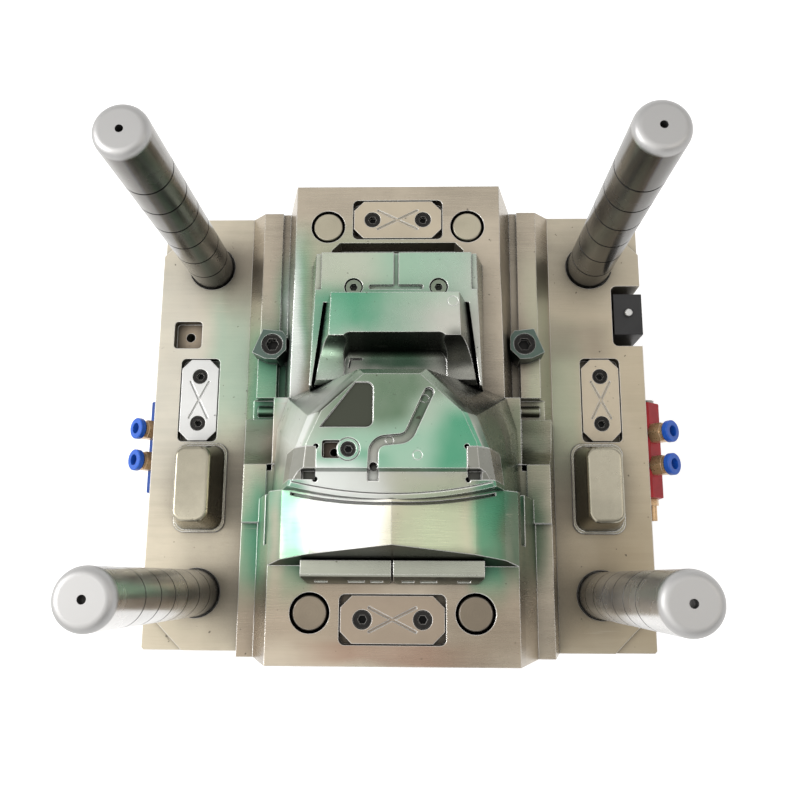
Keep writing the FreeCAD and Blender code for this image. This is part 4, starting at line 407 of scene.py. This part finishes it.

# Patches: place, reach to each side, strength, colour

# Patches on the core and its inserts: the green and pale ones are painted reflection, deep_green
# and slate are painted shade, rust and umber are real stains.
core_reflections_and_stains = [
    ((-0.040, 0.118, 0.37), (0.100, 0.060, 0.04), 0.45, pale_green),
    ((0.022, 0.110, 0.37), (0.060, 0.050, 0.03), 0.70, mint),
    ((-0.092, 0.095, 0.34), (0.026, 0.080, 0.09), 0.75, emerald),
    ((-0.045, 0.072, 0.397), (0.055, 0.035, 0.03), 0.95, emerald),
    ((-0.005, 0.060, 0.397), (0.040, 0.050, 0.03), 0.50, emerald),
    ((-0.060, 0.045, 0.38), (0.030, 0.050, 0.05), 0.55, mint),
    ((0.000, 0.040, 0.372), (0.048, 0.014, 0.026), 0.90, deep_green),
    ((0.050, 0.041, 0.375), (0.020, 0.016, 0.026), 0.75, slate),
    ((0.000, -0.012, 0.45), (0.085, 0.042, 0.02), 0.90, olive),
    ((0.034, -0.028, 0.452), (0.030, 0.024, 0.006), 0.85, (0.44, 0.54, 0.44)),
    ((0.000, -0.054, 0.452), (0.085, 0.030, 0.006), 0.85, mint),
    ((-0.030, -0.062, 0.452), (0.040, 0.016, 0.006), 0.75, emerald),
    ((0.050, -0.046, 0.452), (0.030, 0.036, 0.006), 0.95, emerald),
    ((-0.062, -0.020, 0.405), (0.040, 0.050, 0.043), 0.70, pale),
    ((0.060, -0.006, 0.405), (0.034, 0.030, 0.043), 0.85, slate),
    ((0.084, -0.040, 0.405), (0.034, 0.045, 0.043), 0.90, slate),
    ((0.074, -0.044, 0.415), (0.024, 0.036, 0.032), 0.85, deep_green),
    ((0.092, -0.066, 0.395), (0.030, 0.040, 0.060), 0.85, deep_green),
    ((-0.085, -0.075, 0.38), (0.020, 0.020, 0.07), 0.60, mint),
    ((-0.055, -0.072, 0.44), (0.055, 0.020, 0.02), 0.90, pale),
    ((0.030, -0.074, 0.437), (0.050, 0.012, 0.02), 0.70, (0.56, 0.54, 0.42)),
    ((-0.072, -0.105, 0.42), (0.018, 0.060, 0.03), 0.95, emerald),
    ((-0.104, -0.100, 0.37), (0.022, 0.070, 0.06), 0.80, emerald),
    ((0.072, -0.105, 0.42), (0.018, 0.060, 0.03), 0.95, emerald),
    ((-0.032, -0.105, 0.43), (0.040, 0.055, 0.02), 0.90, pale),
    ((0.030, -0.105, 0.43), (0.042, 0.050, 0.02), 0.80, pale_green),
    ((0.102, -0.100, 0.38), (0.034, 0.060, 0.06), 0.95, deep_green),
    ((0.000, -0.124, 0.415), (0.100, 0.010, 0.03), 0.60, slate),
    ((-0.093, 0.065, 0.33), (0.016, 0.110, 0.06), 0.85, pale),
    ((0.130, 0.060, 0.30), (0.024, 0.120, 0.03), 0.45, pale_green),
    ((-0.128, 0.020, 0.31), (0.024, 0.120, 0.05), 0.40, mint),
    ((-0.118, 0.040, 0.30), (0.028, 0.062, 0.05), 0.85, emerald),
    ((0.110, -0.020, 0.33), (0.026, 0.050, 0.05), 0.55, olive),
    ((-0.118, -0.110, 0.33), (0.016, 0.060, 0.04), 0.75, emerald),
    ((0.000, -0.190, 0.40), (0.080, 0.014, 0.02), 0.65, rust),
    ((-0.060, -0.160, 0.40), (0.090, 0.040, 0.02), 0.45, umber),
    ((-0.100, -0.185, 0.34), (0.060, 0.060, 0.06), 0.50, umber),
    ((0.080, -0.170, 0.40), (0.070, 0.040, 0.02), 0.45, umber),
]
# Patches on the core plate: the green ones and the dark ones are painted reflection, the brown ones
# are real warm stains.
plate_marks_and_reflections = [
    ((-0.210, 0.060, 0.27), (0.05, 0.16, 0.02), 0.45, (0.52, 0.52, 0.48)),
    ((0.200, 0.000, 0.27), (0.090, 0.20, 0.02), 0.45, (0.46, 0.375, 0.25)),
    ((-0.155, 0.060, 0.27), (0.036, 0.10, 0.02), 0.60, (0.25, 0.42, 0.33)),
    ((-0.150, 0.140, 0.27), (0.022, 0.05, 0.02), 0.50, (0.24, 0.20, 0.16)),
    ((0.150, 0.020, 0.27), (0.022, 0.10, 0.02), 0.50, (0.30, 0.40, 0.28)),
    ((0.190, -0.150, 0.27), (0.09, 0.10, 0.02), 0.60, (0.34, 0.27, 0.17)),
    ((0.165, 0.080, 0.27), (0.05, 0.03, 0.02), 0.50, (0.22, 0.19, 0.15)),
    ((-0.190, -0.170, 0.27), (0.07, 0.06, 0.02), 0.40, (0.38, 0.33, 0.24)),
]

# Floors of small pockets: place, reach to each side, colour

plateau_floors = [
    ((-0.0318, -0.0178, 0.4483), (0.0200, 0.0172, 0.0011), (0.055, 0.060, 0.045)),
    ((-0.0416, -0.0496, 0.4430), (0.0075, 0.0070, 0.0055), (0.17, 0.13, 0.10)),
]
pocket_floors = [
    ((-0.198, 0.085, 0.2600), (0.0135, 0.0135, 0.0050), (0.42, 0.34, 0.25)),
]

# Directions of feed marks, as stretches of a noise

crosswise = (0.6, 14.0, 0.6)
along_level = (0.8, 0.8, 16.0)
evenly = (2.0, 2.0, 2.0)


# Materials

plate_steel = milled_steel("plate_steel", (0.52, 0.465, 0.365), crosswise,
                           patches=plate_marks_and_reflections, floors=pocket_floors)
base_steel = milled_steel("base_steel", (0.36, 0.33, 0.285), along_level, rough=0.46)
core_steel = milled_steel("core_steel", (0.46, 0.40, 0.315), crosswise, rough=0.29,
                          patches=core_reflections_and_stains, contrast=1.1, metallic=0.78, relief=0.10)
insert_steel = milled_steel("insert_steel", (0.47, 0.47, 0.42), evenly, rough=0.27,
                            patches=core_reflections_and_stains, floors=plateau_floors, contrast=0.7,
                            metallic=0.85, relief=0.04)
lifter_steel = milled_steel("lifter_steel", (0.24, 0.24, 0.21), evenly, rough=0.30,
                            metallic=0.8, relief=0.05)
# Painted light: lit and shaded copies of one wear steel, the left plate painted pale and the bottom
# plate painted dark.
wear_steel = milled_steel("wear_steel", (0.52, 0.45, 0.34), evenly, rough=0.36, contrast=0.5)
wear_steel_painted_lit = milled_steel("wear_steel_painted_lit", (0.62, 0.62, 0.61), evenly, rough=0.34,
                                 contrast=0.5)
wear_steel_painted_dark = milled_steel("wear_steel_painted_dark", (0.33, 0.265, 0.20), evenly, rough=0.34,
                               contrast=0.6)
block_steel = milled_steel("block_steel", (0.38, 0.352, 0.275), evenly, rough=0.22,
                           metallic=0.9, relief=0.02, round_off=0.0016)
bar_steel = milled_steel("bar_steel", (0.36, 0.37, 0.31), crosswise, rough=0.28,
                         contrast=0.9, metallic=0.8, relief=0.08)
clamp_steel = milled_steel("clamp_steel", (0.085, 0.125, 0.105), evenly, rough=0.34,
                           contrast=0.8, relief=0.10, round_off=0.0009)
pillar_steel = pillar_finish()
# Painted light: the return pins towards +Y are painted paler than those towards -Y, lit and shaded
# copies of one steel.
pin_steel = turned_steel("pin_steel", (0.235, 0.195, 0.145), (0.0605, 0.1625, 0.0), rough=0.32,
                         contrast=0.5, far_colour=(0.45, 0.41, 0.31))
dark_steel = turned_steel("dark_steel", (0.24, 0.23, 0.22), (0.0, 0.0, 0.0), rough=0.34)
plug_steel = turned_steel("plug_steel", (0.42, 0.40, 0.37), (0.2355, 0.024, 0.0), rough=0.36)
screw_black = black_oxide("screw_black", (0.60, 0.58, 0.55))
# Black screws; those towards +Y are given a green-grey tone.
green_grey_screw = black_oxide("green_grey_screw", (0.55, 0.56, 0.52), (0.20, 0.24, 0.18))
bronze = coloured_metal("bronze", (0.55, 0.33, 0.13), 0.34, (0.75, 0.5, 0.25))
brass = coloured_metal("brass", (0.74, 0.50, 0.28), 0.30, (0.95, 0.84, 0.68), metallic=0.6)
red_anodised = coloured_metal("red_anodised", (0.40, 0.006, 0.012), 0.36, (0.6, 0.12, 0.12),
                              metallic=0.4, edge_wear=0.4)
blue_anodised = coloured_metal("blue_anodised", (0.008, 0.07, 0.36), 0.36, (0.1, 0.25, 0.6),
                               metallic=0.4, edge_wear=0.4)
blue_plastic = moulded_plastic("blue_plastic", (0.010, 0.095, 0.50))
black_plastic = moulded_plastic("black_plastic", (0.008, 0.008, 0.009), 0.42)
spring_paint = coloured_metal("spring_paint", (0.10, 0.20, 0.42), 0.42, (0.4, 0.4, 0.42),
                              metallic=0.3, grain_scale=300.0, edge_wear=0.6)

finishes = {
    "clamp_plate": base_steel,
    "spacer_block_left": base_steel,
    "spacer_block_right": base_steel,
    "core_plate": plate_steel,
    "core_block": core_steel,
    "main_core_insert": insert_steel,
    "upper_core_insert": insert_steel,
    "bridge_insert": insert_steel,
    "front_bar_left": bar_steel,
    "front_bar_right": bar_steel,
    "corner_clamp_left": clamp_steel,
    "corner_clamp_right": clamp_steel,
    "wear_plate_top": wear_steel,
    "wear_plate_bottom": wear_steel_painted_dark,
    "wear_plate_left": wear_steel_painted_lit,
    "wear_plate_right": wear_steel,
    "interlock_left": block_steel,
    "interlock_right": block_steel,
    "support_pillars": dark_steel,
    "stop_buttons": dark_steel,
    "spacer_dowels": dark_steel,
    "ejector_guide_pins": dark_steel,
    "lifter_guides": bronze,
    "ejector_guide_bushes": bronze,
    "return_springs": spring_paint,
    "counter_body": black_plastic,
    "counter_plunger": wear_steel_painted_lit,
    "water_manifold_left": blue_anodised,
    "water_manifold_right": red_anodised,
    "hose_fittings_left": brass,
    "hose_fittings_right": brass,
    "manifold_plug": plug_steel,
    "manifold_nipple": brass,
    "ejector_base_plate": base_steel,
    "ejector_retainer_plate": base_steel,
    "return_pins": pin_steel,
    "ejector_pins": insert_steel,
    "lifter_left": lifter_steel,
    "lifter_right": lifter_steel,
    "insert_top_screws": green_grey_screw,
}


def finish_of(node):
    """The material of a node; what isn't listed is a black screw."""
    if node in finishes:
        return finishes[node]
    if node.startswith("guide_pillar"):
        return pillar_steel
    if node.startswith("release_collar"):
        return blue_plastic
    return screw_black


def dress_nodes():
    """Give every node its material, on the object and not on its mesh."""
    for name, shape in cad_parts.items():
        shape.data.materials.clear()
        shape.data.materials.append(None)
        shape.material_slots[0].link = "OBJECT"
        shape.material_slots[0].material = finish_of(name)


# Springs

def spring_piece(node, turns=6.5, outer=0.020, width=0.006, wire=0.0065,
                 corner=0.0007, margin=0.0004, steps=392, smooth_angle=0.5):
    """Flat-wire springs in place of the solid ones, fixed to the mould base at their full length;
    the real springs close up as the ejector plates rise.
    """
    low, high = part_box(node)
    length = high.z - low.z
    pitch = (length + wire) / turns
    inner = outer - width
    section = [
        (inner + corner, 0.0), (outer - corner, 0.0), (outer, corner), (outer, wire - corner),
        (outer - corner, wire), (inner + corner, wire), (inner, wire - corner), (inner, corner),
    ]
    start = margin / pitch
    end = (length + wire - margin) / pitch
    made = bmesh.new()
    for x, y in ((high.x - outer, high.y - outer), (low.x + outer, high.y - outer),
                 (low.x + outer, low.y + outer), (high.x - outer, low.y + outer)):
        rings = []
        for step in range(steps + 1):
            turn = start + (end - start) * step / steps
            angle = 2.0 * math.pi * turn
            base = low.z - wire + pitch * turn
            rings.append([
                made.verts.new((
                    x + radius * math.cos(angle),
                    y + radius * math.sin(angle),
                    min(max(base + rise, low.z), high.z),
                ))
                for radius, rise in section
            ])
        for near_ring, far_ring in zip(rings, rings[1:]):
            for k in range(len(section)):
                after = (k + 1) % len(section)
                made.faces.new((near_ring[k], near_ring[after], far_ring[after], far_ring[k]))
        made.faces.new(list(reversed(rings[0])))
        made.faces.new(rings[-1])
    bmesh.ops.recalc_face_normals(made, faces=made.faces)
    mesh = bpy.data.meshes.new("closing_springs")
    made.to_mesh(mesh)
    made.free()
    mesh.shade_smooth()
    mesh.set_sharp_from_angle(angle=smooth_angle)
    piece = bpy.data.objects.new("closing_springs", mesh)
    bpy.context.scene.collection.objects.link(piece)
    mesh.materials.append(spring_paint)
    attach(piece, "mould_base")
    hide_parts(node)
    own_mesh(piece)


# Stage

def combine(tree, operation, first, second):
    """The result of a maths node, fed by a socket and by another socket or a number."""
    made = tree.nodes.new("ShaderNodeMath")
    made.operation = operation
    tree.links.new(first, made.inputs[0])
    if isinstance(second, float):
        made.inputs[1].default_value = second
    else:
        tree.links.new(second, made.inputs[1])
    return made.outputs["Value"]


def directly_seen(tree):
    """One for rays of the camera and for what metal and glass show, zero for the others."""
    path = tree.nodes.new("ShaderNodeLightPath")
    seen = combine(tree, "MAXIMUM", path.outputs["Is Camera Ray"], path.outputs["Is Glossy Ray"])
    return combine(tree, "MAXIMUM", seen, path.outputs["Is Transmission Ray"])


def floor_material(glow_level=0.68):
    """A pale floor that the camera and shiny metal see as white, with the object's shadow kept."""
    material = bpy.data.materials.new("pale_floor")
    material.use_nodes = True
    tree = material.node_tree
    tree.nodes.clear()
    diffuse = tree.nodes.new("ShaderNodeBsdfDiffuse")
    diffuse.inputs["Color"].default_value = (0.62, 0.62, 0.62, 1.0)
    glow = tree.nodes.new("ShaderNodeEmission")
    level = combine(tree, "MULTIPLY", directly_seen(tree), glow_level)
    tree.links.new(level, glow.inputs["Strength"])
    total = tree.nodes.new("ShaderNodeAddShader")
    tree.links.new(diffuse.outputs["BSDF"], total.inputs[0])
    tree.links.new(glow.outputs["Emission"], total.inputs[1])
    output = tree.nodes.new("ShaderNodeOutputMaterial")
    tree.links.new(total.outputs["Shader"], output.inputs["Surface"])
    return material


def make_floor(half=6.0, drop=0.0005):
    """One large square, a hair below the clamp plate."""
    mesh = bpy.data.meshes.new("floor")
    corners = [(-half, -half, 0.0), (half, -half, 0.0), (half, half, 0.0), (-half, half, 0.0)]
    mesh.from_pydata(corners, [], [(0, 1, 2, 3)])
    floor = bpy.data.objects.new("floor", mesh)
    bpy.context.scene.collection.objects.link(floor)
    floor.data.materials.append(floor_material())
    floor.location.z = -drop


def make_lamp(name, place, target, size, power, colour=(1.0, 1.0, 1.0)):
    """A rectangular lamp aimed at a target and hidden from the camera."""
    lamp = bpy.data.lights.new(name, "AREA")
    lamp.shape = "RECTANGLE"
    lamp.size, lamp.size_y = size
    lamp.energy = power
    lamp.color = colour
    holder = bpy.data.objects.new(name, lamp)
    holder.location = place
    aim = Vector(target) - Vector(place)
    holder.rotation_euler = aim.to_track_quat("-Z", "Y").to_euler()
    holder.visible_camera = False
    bpy.context.scene.collection.objects.link(holder)


def make_world(dim=0.08, bright=0.66, window=1.1):
    """A room with a skylight between -X and -Y, white low down where camera and metal look."""
    world = bpy.data.worlds.new("soft_room")
    bpy.context.scene.world = world
    world.use_nodes = True
    tree = world.node_tree
    tree.nodes.clear()
    way = tree.nodes.new("ShaderNodeTexCoord")

    def glow(direction, low, high, out_low, out_high):
        """Strength that changes as a direction turns towards another one."""
        lean = tree.nodes.new("ShaderNodeVectorMath")
        lean.operation = "DOT_PRODUCT"
        tree.links.new(way.outputs["Generated"], lean.inputs[0])
        lean.inputs[1].default_value = direction
        level = tree.nodes.new("ShaderNodeMapRange")
        level.interpolation_type = "SMOOTHSTEP"
        tree.links.new(lean.outputs["Value"], level.inputs["Value"])
        for socket, number in zip(map_sockets, (low, high, out_low, out_high)):
            level.inputs[socket].default_value = number
        return level.outputs["Result"]

    room = tree.nodes.new("ShaderNodeBackground")
    room.inputs["Color"].default_value = (1.0, 0.99, 0.97, 1.0)
    dome = glow((-0.24, 0.24, 0.94), 0.05, 0.85, dim, bright)
    skylight = glow((-0.57, -0.42, 0.71), 0.72, 0.90, 0.0, window)
    tree.links.new(combine(tree, "ADD", dome, skylight), room.inputs["Strength"])
    white = tree.nodes.new("ShaderNodeBackground")
    white.inputs["Color"].default_value = (1.0, 1.0, 1.0, 1.0)
    white.inputs["Strength"].default_value = 1.0
    low_down = glow((0.0, 0.0, 1.0), 0.42, 0.50, 1.0, 0.0)
    choice = tree.nodes.new("ShaderNodeMixShader")
    tree.links.new(combine(tree, "MULTIPLY", directly_seen(tree), low_down), choice.inputs["Fac"])
    tree.links.new(room.outputs["Background"], choice.inputs[1])
    tree.links.new(white.outputs["Background"], choice.inputs[2])
    output = tree.nodes.new("ShaderNodeOutputWorld")
    tree.links.new(choice.outputs["Shader"], output.inputs["Surface"])


def make_camera():
    """The camera at the place, angle and lens that were solved from the photograph."""
    data = bpy.data.cameras.new("camera")
    data.lens = 38.65
    data.sensor_width = 36.0
    camera = bpy.data.objects.new("camera", data)
    camera.location = (0.02142, -0.13825, 1.0414)
    camera.rotation_euler = (0.206, 0.025, 0.006)
    bpy.context.scene.collection.objects.link(camera)
    bpy.context.scene.camera = camera


# The scene

dress_nodes()
spring_piece("return_springs")
make_floor()
make_world()
make_lamp("window", (-1.45, 0.1, 1.45), (0.0, 0.0, 0.35), (0.9, 0.6), 15.0)
make_lamp("overhead", (-0.1, 0.5, 2.3), (0.0, 0.0, 0.3), (2.0, 1.6), 5.0)
make_lamp("fill", (1.3, 0.0, 1.9), (0.0, 0.0, 0.35), (1.0, 1.0), 4.0, (1.0, 0.94, 0.86))
make_camera()
bpy.context.scene.view_settings.view_transform = "Standard"
